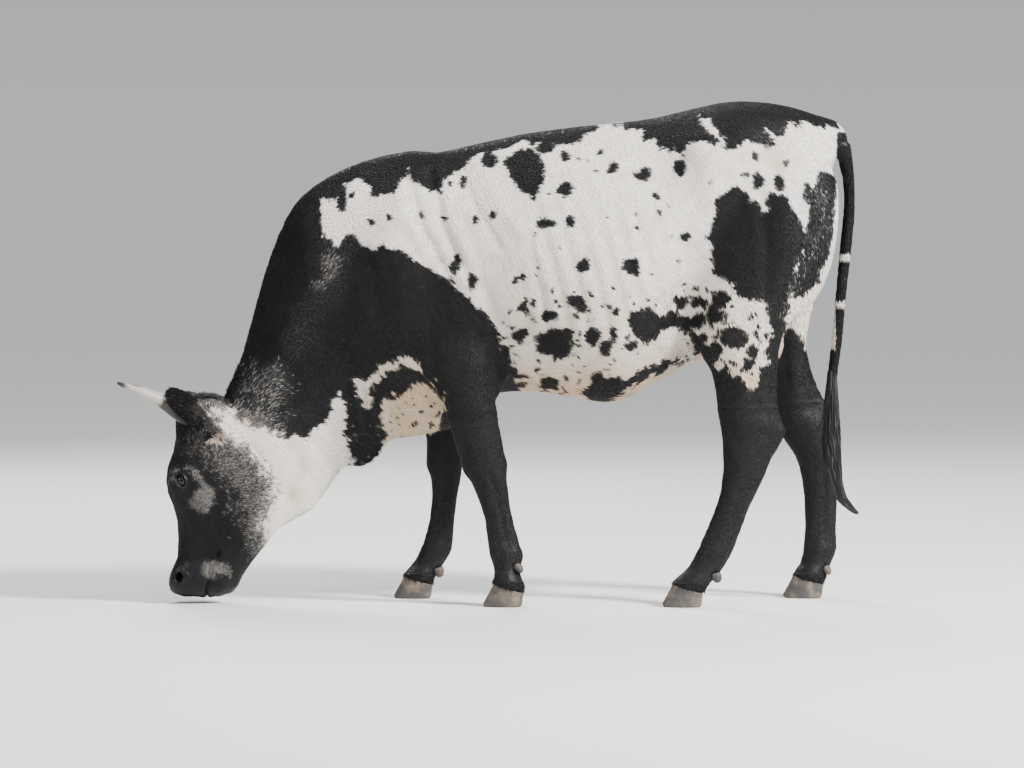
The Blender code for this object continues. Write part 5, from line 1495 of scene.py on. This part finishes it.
@dataclass
class Coat:
    """The solid tufts that stand over one skin."""

    skin: Skin
    markings: Markings
    material: bpy.types.Material

    SEEN_AT = 0.4
    """The share of a tuft's length where its colour is taken, as its root is covered."""
    EYE_OPENING = (0.0225, 0.0150)
    EYE_SPAN = 0.035
    LIP_REACH = 0.0038
    HORN_LINE = ((-0.805, -0.045, 0.500), (-0.91, -0.10, 0.55))
    HORN_REACH = 0.038
    UNEVEN = 0.16
    """How far, as an angle, tufts turn from the common lie."""

    def colours(self, places: Array, draw: np.random.Generator) -> Values:
        """The values of each tuft, which is all of one colour."""
        values = self.markings.at(places)
        mixing = 0.0008 + 0.013 * self.skin.anatomy.on_head(places)
        dark = (values["depth"] + draw.normal(0, 1, len(places)) * mixing > 0) * 1.0
        bare = self.skin.anatomy.muzzle(places)
        white_hair = draw.random(len(places)) < values["pale"] * np.clip(1 - 2.2 * bare, 0, 1)
        dark = np.where(white_hair & (dark > 0), draw.uniform(0.62, 0.93, len(places)), dark)
        warm = np.clip(values["warm"] + draw.normal(0, 0.07, len(places)), 0, 1)
        dull = np.clip(values["dull"] + draw.normal(0, 0.015, len(places)), 0, 1)
        return {"dark": dark, "warm": warm, "shade": dull}

    def tufts(self, name: str, roots: Roots, sizes: Array, values: Values) -> Piece:
        """One joined piece of many tufts.

        Args:
            name: the piece's name.
            roots: where the tufts stand.
            sizes: the length, half width and tip height of each.
            values: what a material reads, one number a tuft.

        Returns:
            The piece, dressed and with its map for baking.
        """
        length, half, lift = (sizes[:, k : k + 1] for k in range(3))
        n, way = roots.normals, roots.ways
        across = np.cross(n, way)
        foot = roots.places - n * np.minimum(0.0004, lift * 0.25)
        left, right = foot + across * half, foot - across * half
        ridge = roots.places + way * length * RIDGE_AT + n * (RIDGE_AT * lift + 0.25 * half)
        tip = roots.places + way * length + n * lift
        count = len(length)
        points = np.stack([left, right, ridge, tip], axis=1).reshape(-1, 3)
        faces = (TUFT_FACES[None] + 4 * np.arange(count)[:, None, None]).reshape(-1, 3)
        obj = mesh_from_arrays(name, points, faces)
        give_values(obj, {key: np.repeat(numbers, 4) for key, numbers in values.items()})
        spots = unwrapped(roots.places, *self.axis_of(roots.places))
        corners = spots[:, None, :] + TUFT_UV[TUFT_FACES.ravel()][None]
        layer = obj.data.uv_layers.new(name=UV_NAME)
        layer.data.foreach_set("uv", corners.astype(np.float32).ravel())
        return settle(obj, self.material)

    def axis_of(self, places: Array) -> tuple[Array, Array]:
        """The ends of the middle line along a region's longest way."""
        middle = places.mean(axis=0)
        spread = places - middle
        way = np.linalg.svd(spread[:: max(1, len(spread) // 2000)], full_matrices=False)[2][0]
        along = spread @ way
        return middle + way * along.min(), middle + way * along.max()

    def free_of_parts(self, places: Array) -> Array:
        """Which places lie clear of the eyes, the horns and the nose."""
        anatomy = self.skin.anatomy
        local = anatomy.head.folded(places)
        off = local - np.array(EYE_IN_HEAD)
        reach = np.hypot(off @ EYE_LONG_WAY / self.EYE_OPENING[0], off @ EYE_SHORT_WAY / self.EYE_OPENING[1])
        clear = (anatomy.muzzle(places) < 0.5) & ((reach > 1) | (np.abs(off[:, 1]) > self.EYE_SPAN))
        lips = line_distance(local[:, [0, 2]], np.array(MOUTH_LINE))
        clear &= (lips > self.LIP_REACH) | (local[:, 2] > MOUTH_TOP)
        return clear & (line_distance(local, np.array(self.HORN_LINE)) > self.HORN_REACH)

    def grow(self, region: Region, seed: int) -> Piece:
        """Covers one region.

        Args:
            region: the part of the skin.
            seed: what the tufts' unevenness is drawn from.

        Returns:
            The region's piece.
        """
        pelt = PELTS[region.value.split("_")[0]]
        draw = np.random.default_rng(seed)
        skin = self.skin
        chosen = np.flatnonzero(skin.regions == list(Region).index(region))
        places, normals = skin.scatter(chosen, pelt.cell * SQUARE_MM, draw)
        clear = self.free_of_parts(places)
        places, normals = places[clear], normals[clear]
        count = len(places)
        ways = turned(skin.lie(places, normals), normals, draw.normal(0, self.UNEVEN, count))
        face = smooth_step(-0.70, -0.86, places[:, 0]) * smooth_step(0.50, 0.20, places[:, 2])
        feet = smooth_step(0.16, 0.05, places[:, 2])
        small = (1 - 0.30 * face) * (1 - 0.30 * feet)
        spreads = ((pelt.length, 0.75, 1.25), (pelt.half_width, 0.8, 1.25), (pelt.lift, 0.7, 1.3))
        sizes = [size * small * draw.uniform(low, high, count) for size, low, high in spreads]
        sizes = np.stack(sizes, axis=1)
        values = self.colours(places + ways * sizes[:, :1] * self.SEEN_AT, draw)
        return self.tufts(f"coat_{region.value}", Roots(places, normals, ways), sizes, values)

    def build(self) -> None:
        """Grows the coat of every region that has one."""
        for number, region in enumerate(region for region in Region if region is not Region.BARE):
            self.grow(region, 100 + number)


# Long hair: the ears' fringe, the forelock, the hair over the hooves and the whiskers
@dataclass(frozen=True)
class Growth:
    """How one kind of long hair grows."""

    number: int
    """What is added to the seed."""
    cell: float
    """Square millimetres of skin for each tuft."""
    length: float
    half_width: float
    lift: float
    dark: float = 1.0
    warm: float = 0.0
    shade: float = 0.0
    paler: float = 0.0
    """How much paler a tuft here and there is."""
    stray: float = 0.0
    """How far the tufts point away from their common way."""


EAR_FRINGE = Growth(1, 30.0, 0.015, 0.0009, 0.0045, warm=0.3, shade=0.05, paler=0.18)
EAR_TUFT = Growth(2, 16.0, 0.019, 0.0010, 0.004, dark=0.0, warm=0.65, shade=0.05)
FORELOCK = Growth(3, 14.0, 0.017, 0.0014, 0.004, shade=0.05, stray=0.30)
CORONET = Growth(5, 9.0, 0.014, 0.0013, 0.0035, shade=0.18)
WHISKERS = Growth(6, 120.0, 0.012, 0.0003, 0.009)


@dataclass
class LongHair:
    """The hair that stands out beyond the flat coat."""

    coat: Coat
    seed: int = 300
    stray_seed: int = 304
    pale_every: int = 11

    def make(self, name: str, where: Array, growth: Growth, way: Sequence[float]) -> Piece:
        """One piece of long tufts.

        Args:
            name: the piece's name.
            where: which of the skin's triangles carry it.
            growth: how it grows.
            way: which way the tufts point.

        Returns:
            The piece.
        """
        draw = np.random.default_rng(self.seed + growth.number)
        places, normals = self.coat.skin.scatter(np.flatnonzero(where), growth.cell * SQUARE_MM, draw)
        count = len(places)
        ways = np.random.default_rng(self.stray_seed).normal(way, growth.stray, (count, 3))
        draw = np.random.default_rng(self.seed + count)
        ways = turned(flattened(ways, normals), normals, draw.normal(0, 0.2, count))
        size = np.array((growth.length, growth.half_width, growth.lift))
        values = plain_values(count, growth.dark, growth.warm, growth.shade)
        values["dark"] -= (np.arange(count) % self.pale_every == 0) * growth.paler
        roots = Roots(places, normals, ways)
        return self.coat.tufts(name, roots, size * draw.uniform(0.6, 1.3, (count, 1)), values)

    def ear(self, side: Side) -> None:
        """The dark hair in the cup of one ear, and the cream hair under its root."""
        skin = self.coat.skin
        base, tip = skin.anatomy.ear_line(side)
        inner = skin.facing @ skin.anatomy.ear_facing(side) > 0.45
        inner &= skin.anatomy.on_ear(skin.middles, side) > 0.5
        self.make(f"ear_fringe_{side.word}", inner, EAR_FRINGE, unit(tip - base) - (0.0, 0.0, 0.6))
        below = base * 0.8 + tip * 0.2 + np.array((0.020, 0.0, -0.028))
        away = np.linalg.norm((skin.middles - below) * (1.0, 1.0, 1.7), axis=1)
        self.make(f"ear_tuft_{side.word}", away < 0.024, EAR_TUFT, (0.55, side.value * 0.5, -0.55))

    def forelock(self) -> None:
        """The longer hair between the horns."""
        x, y, z = self.coat.skin.anatomy.head.upright(self.coat.skin.middles).T
        top = (z > 0.475) & (np.abs(y) < 0.050) & (x < -0.70) & (x > -0.86)
        self.make("forelock", top, FORELOCK, (0.6, 0.0, 0.1))

    def coronets(self) -> None:
        """The hair that hangs over the tops of the hooves."""
        x, y, z = self.coat.skin.middles.T
        over = np.zeros(len(x), bool)
        for name in (f"claw_{foot.value}_{part}" for foot in Foot for part in ("inner", "outer")):
            low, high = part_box(name)
            near = (x > low[0] - 0.02) & (x < high[0] + 0.02) & (y > low[1] - 0.02) & (y < high[1] + 0.02)
            over |= near & (z > high[2] - 0.016) & (z < high[2] + 0.012)
        self.make("coronet_hair", over, CORONET, (0.0, 0.0, -1.0))

    def whiskers(self) -> None:
        """The stiff hairs of the lips and the chin."""
        x, y, z = self.coat.skin.anatomy.head.upright(self.coat.skin.middles).T
        mouth = (z < 0.100) & (z > 0.030) & (x > -0.84) & (x < -0.69) & (np.abs(y) > 0.03)
        self.make("whiskers", mouth, WHISKERS, (-0.2, 0.0, -0.9))

    def build(self) -> None:
        """Makes every piece of long hair."""
        for side in Side:
            self.ear(side)
        self.forelock()
        self.coronets()
        self.whiskers()


# Eyes
@dataclass(frozen=True)
class EyeFinish:
    """A dark wet eye, and the bare skin of its lids."""

    iris: Colour = (0.013, 0.007, 0.0045, 1.0)
    ray: Colour = (0.030, 0.016, 0.008, 1.0)
    pupil: Colour = (0.0012, 0.0012, 0.0016, 1.0)
    white: Colour = (0.032, 0.021, 0.018, 1.0)
    lid: Colour = (0.006, 0.006, 0.007, 1.0)
    lid_edge: Colour = (0.010, 0.008, 0.008, 1.0)

    def ball(self) -> bpy.types.Material:
        """The eyeball, with its pupil and iris by the angle that the mesh holds."""
        graph = Graph("eye")
        angle = graph.value("angle")
        rays = graph.noise(900.0, 2.0) * 0.4
        iris = graph.mix(rays, self.iris, self.ray)
        inside = graph.mix(graph.step(0.36, 0.46, graph.value("pupil")), self.pupil, iris)
        rimmed = graph.mix(graph.step(0.66, 0.74, angle), inside, self.pupil)
        colour = graph.mix(graph.step(0.78, 0.90, angle), rimmed, self.white)
        roughness = 0.04 + graph.noise(300.0) * 0.03
        shine = {"IOR": 1.45, "Specular IOR Level": 0.22, "Coat Weight": 0.30, "Coat Roughness": 0.03}
        return graph.finish(colour, roughness, shine)

    def lids(self) -> bpy.types.Material:
        """The lids' bare skin, finely wrinkled."""
        graph = Graph("eyelid")
        wrinkles = graph.noise(500.0, 3.0)
        graph.bump(wrinkles, 0.0006)
        colour = graph.mix(graph.value("edge"), self.lid, self.lid_edge)
        return graph.finish(colour, 0.44 - graph.value("edge") * 0.22)


@dataclass
class Eye:
    """One eye with its lids and lashes."""

    anatomy: Anatomy
    side: Side
    finish: EyeFinish
    radius: float = 0.0181
    cornea: float = 0.0009
    lid_rings: tuple[Triple, ...] = (
        (0.0240, 0.0182, 0.0222),
        (0.0220, 0.0160, 0.0238),
        (0.0202, 0.0143, 0.0240),
        (0.0187, 0.0129, 0.0231),
        (0.0178, 0.0122, 0.0212),
        (0.0177, 0.0122, 0.0178),
        (0.0226, 0.0166, 0.0180),
    )
    """Half length, half height and distance from the eye's middle, from the outer foot to the ball."""
    around: int = 56
    lashes: int = 40
    gaze: Triple = (-0.22, 0.97, -0.08)
    """Where the eye looks, outwards being along Y."""

    def place(self, along: Array, across: Array, out: Array) -> Array:
        """Real places from distances along the eye's long way, its short way and outwards."""
        middle = np.array(EYE_IN_HEAD) * (1, -self.side.value, 1)
        local = middle + along[:, None] * EYE_LONG_WAY + across[:, None] * EYE_SHORT_WAY
        local = local + out[:, None] * SIDEWAYS * self.side.value
        turn = np.array(self.anatomy.head.matrix)
        return local @ turn[:3, :3].T + turn[:3, 3]

    def almond(self, angles: Array, ring: Triple) -> Array:
        """Points of one ring of the lids, draped over the ball."""
        length, height, reach = ring
        along = length * np.cos(angles)
        across = height * np.sin(angles) * np.abs(np.sin(angles)) ** 0.25
        out = np.sqrt(np.maximum(reach**2 - along**2 - across**2, (0.25 * reach) ** 2))
        return self.place(along, across, out)

    def ball(self) -> Piece:
        """The eyeball with the swelling of its cornea."""
        deselect()
        bpy.ops.mesh.primitive_uv_sphere_add(segments=64, ring_count=40, radius=self.radius)
        obj = bpy.context.object
        obj.name = obj.data.name = f"eyeball_{self.side.word}"
        points = points_of(obj)
        towards = unit(np.array(self.gaze) * (1, self.side.value, 1))
        way = points / self.radius
        angle = np.arccos(np.clip(way @ towards, -1, 1))
        points += way * (self.cornea * smooth_step(0.70, 0.40, angle))[:, None]
        sideways, up = way @ np.cross(towards, (0.0, 0.0, 1.0)), way[:, 2] - towards[2]
        x, y, z = EYE_IN_HEAD
        middle = np.array(self.anatomy.head.place(x, -self.side.value * y, z))
        set_points(obj, points + middle)
        pupil = np.where(angle < 1.2, np.hypot(sideways / 1.25, up / 0.75), 1.0)
        give_values(obj, {"angle": angle, "pupil": pupil})
        choose(obj)
        bpy.ops.object.shade_smooth()
        name = f"eye_{self.side.word}"
        return settle(obj, self.finish.ball(), [name])

    def lids(self) -> Piece:
        """Both lids, as one rolled edge round the eye."""
        deselect()
        bpy.ops.mesh.primitive_torus_add(major_segments=self.around, minor_segments=len(self.lid_rings))
        obj = bpy.context.object
        obj.name = obj.data.name = f"eyelids_{self.side.word}"
        angles = np.arange(self.around) * math.tau / self.around
        rings = np.stack([self.almond(angles, ring) for ring in self.lid_rings], axis=1)
        set_points(obj, rings.reshape(-1, 3))
        give_values(obj, {"edge": np.tile((0.0, 0.1, 0.7, 1.0, 1.0, 1.0, 0.0), self.around)})
        edit(obj, bpy.ops.mesh.normals_make_consistent, inside=False)
        apply_modifier(obj, "SUBSURF", levels=2, render_levels=2)
        bpy.ops.object.shade_smooth()
        return settle(obj, self.finish.lids())

    def lash_hair(self, coat: Coat) -> Piece:
        """The lashes of the upper lid."""
        angles = math.pi + np.linspace(0.25, math.pi - 0.25, self.lashes)
        roots = self.almond(angles, self.lid_rings[2])
        normals = unit(roots - self.place(*np.zeros((3, 1))))
        ways = flattened(np.tile((-0.35, self.side.value * 0.45, -0.85), (self.lashes, 1)), normals)
        shorter = 0.7 + 0.4 * np.sin(angles - math.pi)
        sizes = np.array((0.009, 0.00045, 0.008)) * shorter[:, None]
        values = plain_values(self.lashes, dark=1.0)
        return coat.tufts(f"lashes_{self.side.word}", Roots(roots, normals, ways), sizes, values)

    def build(self, coat: Coat) -> None:
        """Makes the ball, the lids and the lashes."""
        self.ball()
        self.lids()
        self.lash_hair(coat)


# Horns and hooves
@dataclass(frozen=True)
class HornFinish:
    """Horn: black at the root, pale along the middle and dark at the tip."""

    root: Colour = (0.020, 0.017, 0.016, 1.0)
    pale: Colour = (0.46, 0.40, 0.34, 1.0)
    streak: Colour = (0.26, 0.20, 0.15, 1.0)
    tip: Colour = (0.030, 0.024, 0.020, 1.0)

    def material(self) -> bpy.types.Material:
        """The finish, by the share of the way along the horn that the mesh holds."""
        graph = Graph("horn")
        along = graph.value("along") + graph.noise(70.0, 3.0) * 0.06 - 0.03
        streaks = graph.noise(60.0, 4.0, graph.place((0.3, 1.0, 1.6)))
        middle = graph.mix(graph.step(0.45, 0.75, streaks) * 0.7, self.pale, self.streak)
        colour = graph.mix(graph.step(0.505, 0.555, along), self.root, middle)
        colour = graph.mix(graph.step(0.88, 0.96, along), colour, self.tip)
        rings = graph.math("SINE", graph.value("along") * 190.0)
        rough = graph.step(0.55, 0.30, graph.value("along"))
        graph.bump(rings * rough * 0.35 + streaks * 0.4, 0.0012)
        return graph.finish(colour, 0.34 + streaks * 0.18)


@dataclass
class Horn:
    """One horn."""

    anatomy: Anatomy
    side: Side
    finish: HornFinish
    root: Triple = (-0.805, -0.045, 0.500)
    tip: Triple = (-1.014, -0.164, 0.600)
    narrowing: float = 0.28
    """How much slimmer the pale part is than the black root."""

    def narrow(self, obj: Piece, along: Array) -> None:
        """Slims the horn past its root, about the curve of its own middle.

        Args:
            obj: the horn.
            along: the share of the way along it of every vertex.
        """
        points = points_of(obj)
        bins = np.linspace(along.min(), along.max(), 25)
        owner = np.digitize(along, bins) - 1
        used = np.unique(owner)
        middles = np.array([[*points[owner == k].mean(axis=0), along[owner == k].mean()] for k in used])
        centre = np.stack([np.interp(along, middles[:, 3], middles[:, k]) for k in range(3)], axis=1)
        slim = 1 - self.narrowing * smooth_step(0.30, 0.62, along) * smooth_step(1.02, 0.90, along)
        set_points(obj, centre + (points - centre) * slim[:, None])

    def build(self) -> Piece:
        """Rounds the frame's horn and gives it its finish."""
        name = f"horn_{self.side.word}"
        obj = copy_node(name)
        obj.name = obj.data.name = f"{name}_horn"
        edit(obj, bpy.ops.mesh.tris_convert_to_quads)
        apply_modifier(obj, "SUBSURF", levels=2, render_levels=2)
        root, tip = (
            self.anatomy.head.place(x, -self.side.value * y, z) for x, y, z in (self.root, self.tip)
        )
        way = np.array(tip - root)
        along = (points_of(obj) - np.array(root)) @ way / (way @ way)
        give_values(obj, {"along": along})
        self.narrow(obj, along)
        choose(obj)
        bpy.ops.object.shade_smooth()
        return settle(obj, self.finish.material(), [name])


@dataclass(frozen=True)
class HoofFinish:
    """Dull grey hoof horn, tan where it is worn."""

    grey: Colour = (0.060, 0.054, 0.050, 1.0)
    tan: Colour = (0.24, 0.18, 0.125, 1.0)

    def material(self) -> bpy.types.Material:
        """The finish, with its growth rings."""
        graph = Graph("hoof")
        rings = graph.noise(120.0, 3.0, graph.place((0.12, 0.12, 1.0)))
        patches = graph.noise(28.0, 3.0)
        worn = graph.step(0.42, 0.72, patches) * 0.75
        colour = graph.mix(worn, self.grey, self.tan)
        colour = graph.mix(graph.step(0.50, 0.62, rings) * 0.35, colour, self.grey)
        graph.bump(rings + graph.noise(400.0) * 0.2, 0.0022)
        return graph.finish(colour, 0.50 + patches * 0.18)


@dataclass
class Hooves:
    """The two claws and two dewclaws of every foot."""

    finish: HoofFinish
    small_finish: HoofFinish = HoofFinish(grey=(0.044, 0.040, 0.036, 1.0), tan=(0.20, 0.155, 0.11, 1.0))
    """The dewclaws', which wear less and stay darker."""
    voxel: float = 0.0020
    rounds: int = 6

    def hoof(self, name: str, material: bpy.types.Material) -> Piece:
        """One claw or dewclaw with its edges rounded."""
        obj = copy_node(name)
        obj.name = obj.data.name = f"{name}_horn"
        fine = self.voxel * (0.75 if name.startswith("dew") else 1.0)
        apply_modifier(obj, "REMESH", mode="VOXEL", voxel_size=fine)
        apply_modifier(obj, "SMOOTH", factor=0.5, iterations=self.rounds)
        bpy.ops.object.shade_smooth()
        return settle(obj, material, [name])

    def build(self) -> list[Piece]:
        """Makes all sixteen."""
        names = [name for name in frame["nodes"] if name.startswith(("claw", "dewclaw"))]
        claws, dewclaws = self.finish.material(), self.small_finish.material()
        return [self.hoof(name, dewclaws if name.startswith("dew") else claws) for name in names]


# The end of the tail
@dataclass
class Switch:
    """The long hair at the end of the tail: a dark core, locks over it and loose strands."""

    shift: Vector
    material: bpy.types.Material
    path: tuple[tuple[float, float, float, float], ...] = (
        (0.9330, 0.0, 0.640, 0.0150), (0.9330, 0.0, 0.610, 0.0165), (0.9315, 0.0, 0.560, 0.0205),
        (0.9310, 0.0, 0.500, 0.0260), (0.9310, 0.0, 0.440, 0.0290), (0.9350, 0.0, 0.380, 0.0265),
        (0.9440, 0.0, 0.325, 0.0200), (0.9620, 0.0, 0.283, 0.0140), (0.9900, 0.0, 0.254, 0.0085),
        (1.0100, 0.0, 0.240, 0.0035),
    )
    """X, Y and Z of the middle line, and how far the hair reaches from it."""
    levels: int = 9

    def middle_at(self, shares: Array) -> tuple[Array, Array, Array]:
        """The middle line's places, the reach and the way across it, at shares of the way down."""
        route = np.array(self.path)
        steps = np.linspace(0, 1, len(route))
        place = np.stack([np.interp(shares, steps, route[:, k]) for k in range(3)], axis=-1)
        reach = np.interp(shares, steps, route[:, 3])
        slope = np.gradient(route[:, :3], axis=0)
        tangent = np.stack([np.interp(shares, steps, slope[:, k]) for k in range(3)], axis=-1)
        tangent = unit(tangent)
        across = np.cross(tangent, SIDEWAYS)
        return place + np.array(self.shift), reach, across

    def core(self) -> Piece:
        """The dark middle that the locks lie on."""
        deselect()
        bpy.ops.mesh.primitive_uv_sphere_add(segments=20, ring_count=40, radius=1.0)
        obj = bpy.context.object
        obj.name = obj.data.name = "switch_core"
        points = points_of(obj)
        shares = 0.02 + 0.90 * (1 - points[:, 2]) / 2
        place, reach, across = self.middle_at(shares)
        girth = 0.62 * reach * np.sqrt(np.clip(1 - np.abs(points[:, 2]) ** 6, 0, 1))
        angle = np.arctan2(points[:, 1], points[:, 0])
        girth *= 1 + 0.12 * np.sin(angle * 5 + shares * 9)
        offset = np.cos(angle)[:, None] * across + np.sin(angle)[:, None] * SIDEWAYS
        set_points(obj, place + girth[:, None] * offset)
        give_values(obj, plain_values(len(points), dark=1.0))
        edit(obj, bpy.ops.mesh.normals_make_consistent, inside=False)
        bpy.ops.object.shade_smooth()
        return settle(obj, self.material, ["tail_switch"])

    def hair(self, name: str, count: int, width: float, flat: float, seed: int) -> Piece:
        """Many tapered hairs or locks that follow the tail down.

        Args:
            name: the piece's name.
            count: how many.
            width: half the width of each.
            flat: how thick each is against its width.
            seed: what their unevenness is drawn from.

        Returns:
            The piece.
        """
        draw = np.random.default_rng(seed)
        start = draw.uniform(0.0, 0.72, count) ** 1.15
        finish = np.clip(start + draw.uniform(0.22, 0.45, count), 0, draw.uniform(0.86, 1.0, count))
        angle = draw.uniform(0, math.tau, count)
        depth = draw.uniform(0.62, 0.98, count)
        wave, phase = draw.normal(0, 0.10, count), draw.uniform(0, math.tau, count)
        t = np.linspace(0, 1, self.levels)
        shares = start[:, None] + (finish - start)[:, None] * t
        place, reach, across = self.middle_at(shares)
        turn = angle[:, None] + wave[:, None] * 3 * np.sin(phase[:, None] + shares * 14) * t
        cos, sin = np.cos(turn)[..., None], np.sin(turn)[..., None]
        out, sideways = cos * across + sin * SIDEWAYS, -sin * across + cos * SIDEWAYS
        rise = depth[:, None] + 0.10 * np.sin(phase[:, None] + shares * 17)
        middle = place + out * (reach * np.minimum(rise, 1.0) * (0.80 + 0.20 * t))[..., None]
        thin = width * np.sin(np.clip(0.25 + 0.75 * t, 0, 1) * math.pi) ** 0.7
        thin = np.maximum(thin, width * 0.04)[None, :, None]
        wide, thick = sideways * thin, out * thin * flat
        ring = np.stack([middle + wide, middle + thick, middle - wide, middle - thick], axis=2)
        one = self.hair_faces()
        each = 4 * self.levels
        faces = (one[None] + each * np.arange(count)[:, None, None]).reshape(-1, 3)
        obj = mesh_from_arrays(name, ring.reshape(-1, 3), faces)
        edit(obj, bpy.ops.mesh.normals_make_consistent, inside=False)
        dark = np.clip(1 - np.abs(draw.normal(0, 0.02, count)), 0, 1)
        values = {"dark": dark, "warm": np.zeros(count), "shade": draw.uniform(0, 0.10, count)}
        give_values(obj, {key: np.repeat(numbers, each) for key, numbers in values.items()})
        spots = UV_START + UV_SPAN * np.stack([start, angle / math.tau], axis=1)
        self.lay_map(obj, np.repeat(spots, 3 * len(one), axis=0))
        return settle(obj, self.material)

    def hair_faces(self) -> Array:
        """The triangles of one hair of four sides, closed at both ends."""
        k = np.arange(self.levels - 1)[:, None, None] * 4
        j = np.arange(4)[None, :, None]
        a, b = k + j, k + (j + 1) % 4
        sides = np.concatenate([a, b, b + 4, a, b + 4, a + 4], axis=2).reshape(-1, 3)
        last = 4 * (self.levels - 1)
        ends = ((0, 2, 1), (0, 3, 2), (last, last + 1, last + 2), (last, last + 2, last + 3))
        return np.vstack([sides, np.array(ends)])

    def lay_map(self, obj: Piece, spots: Array) -> None:
        """Gives each hair a small patch of the map for baking, at its root's spot."""
        corner = np.empty(len(obj.data.loops), np.int32)
        obj.data.loops.foreach_get("vertex_index", corner)
        level = (corner % (4 * self.levels)) // 4 / self.levels
        spread = np.stack([level, (corner % 4) / 4], axis=1) * UV_PATCH
        layer = obj.data.uv_layers.new(name=UV_NAME)
        layer.data.foreach_set("uv", (spots + spread).astype(np.float32).ravel())

    def build(self) -> None:
        """Makes the core, the locks and the strands."""
        self.core()
        self.hair("switch_locks", 420, 0.0042, 0.30, 401)
        self.hair("switch_strands", 1500, 0.0011, 0.60, 402)


# The studio
@dataclass(frozen=True)
class Lamp:
    """One soft light: its place, what it points at, its size and power."""

    name: str
    place: Triple
    aim: Triple
    size: float
    power: float


@dataclass
class Studio:
    """A pale floor, soft lights and the camera."""

    floor_size: float = 70.0
    floor_light: Colour = (0.84, 0.83, 0.81, 1.0)
    floor_dark: Colour = (0.79, 0.78, 0.76, 1.0)
    air_low: Colour = (0.56, 0.57, 0.59, 1.0)
    air_high: Colour = (0.34, 0.35, 0.37, 1.0)
    overhead_power: float = 1.1
    overhead_angle: float = math.radians(100)
    lamps: tuple[Lamp, ...] = (
        Lamp("key", (5.2, -3.4, 5.2), (0.1, 0.0, 0.7), 1.4, 1500.0),
        Lamp("fill", (-5.5, -5.5, 2.6), (-0.3, 0.0, 0.6), 1.8, 130.0),
        Lamp("rim", (-1.5, 5.5, 5.0), (0.0, 0.0, 0.9), 3.5, 420.0),
    )

    def floor(self) -> None:
        """The floor and the air over it."""
        deselect()
        bpy.ops.mesh.primitive_circle_add(vertices=96, radius=self.floor_size / 2, fill_type="NGON")
        floor = bpy.context.object
        floor.name = floor.data.name = "floor"
        graph = Graph("floor")
        colour = graph.mix(graph.noise(1.4, 3.0) * 0.3, self.floor_light, self.floor_dark)
        floor.data.materials.append(graph.finish(colour, 0.72))
        world = bpy.data.worlds.new("studio_air")
        world.use_nodes = True
        nodes, links = world.node_tree.nodes, world.node_tree.links
        where, split, rise, blend = (
            nodes.new(f"ShaderNode{kind}") for kind in ("TexCoord", "SeparateXYZ", "MapRange", "Mix")
        )
        blend.data_type = "RGBA"
        rise.inputs["From Min"].default_value, rise.inputs["From Max"].default_value = 0.02, 0.16
        blend.inputs[6].default_value, blend.inputs[7].default_value = self.air_low, self.air_high
        links.new(where.outputs["Generated"], split.inputs[0])
        links.new(split.outputs["Z"], rise.inputs["Value"])
        links.new(rise.outputs[0], blend.inputs[0])
        links.new(blend.outputs[2], nodes["Background"].inputs["Color"])
        bpy.context.scene.world = world

    def aim(self, obj: Piece, place: Vector, target: Vector) -> None:
        """Sets a light or the camera at a place, turned to a target."""
        obj.location = place
        obj.rotation_euler = (target - place).to_track_quat("-Z", "Y").to_euler()

    def light(self) -> None:
        """The lights."""
        for lamp in self.lamps:
            deselect()
            bpy.ops.object.light_add(type="AREA")
            obj = bpy.context.object
            obj.name = f"light_{lamp.name}"
            obj.data.shape = "DISK"
            obj.data.size = lamp.size
            obj.data.energy = lamp.power
            self.aim(obj, Vector(lamp.place), Vector(lamp.aim))
        deselect()
        bpy.ops.object.light_add(type="SUN", location=(0.0, 0.0, 6.0))
        overhead = bpy.context.object
        overhead.name = "light_overhead"
        overhead.data.energy = self.overhead_power
        overhead.data.angle = self.overhead_angle

    def camera(self) -> None:
        """The camera, where the photograph was taken from."""
        deselect()
        bpy.ops.object.camera_add()
        camera = bpy.context.object
        camera.data.lens = LENS_MM
        camera.data.sensor_width = SENSOR_MM
        camera.data.clip_end = 200.0
        self.aim(camera, CAMERA_PLACE, CAMERA_TARGET)
        bpy.context.scene.camera = camera

    def build(self) -> None:
        """Sets up the floor, the lights and the camera."""
        self.floor()
        self.light()
        self.camera()


def main() -> None:
    """Builds the cow in order."""
    anatomy = Anatomy(HeadFrame())
    markings = Markings(anatomy.head.shift)
    finish = CoatFinish()
    hide = Hide(anatomy).build(markings, finish)
    hair = finish.hair()
    coat = Coat(Skin(hide, anatomy), markings, hair)
    coat.build()
    LongHair(coat).build()
    for side in Side:
        Eye(anatomy, side, EyeFinish()).build(coat)
        Horn(anatomy, side, HornFinish()).build()
    Hooves(HoofFinish()).build()
    Switch(anatomy.head.shift, hair).build()
    Studio().build()


if __name__ == "__main__":
    main()
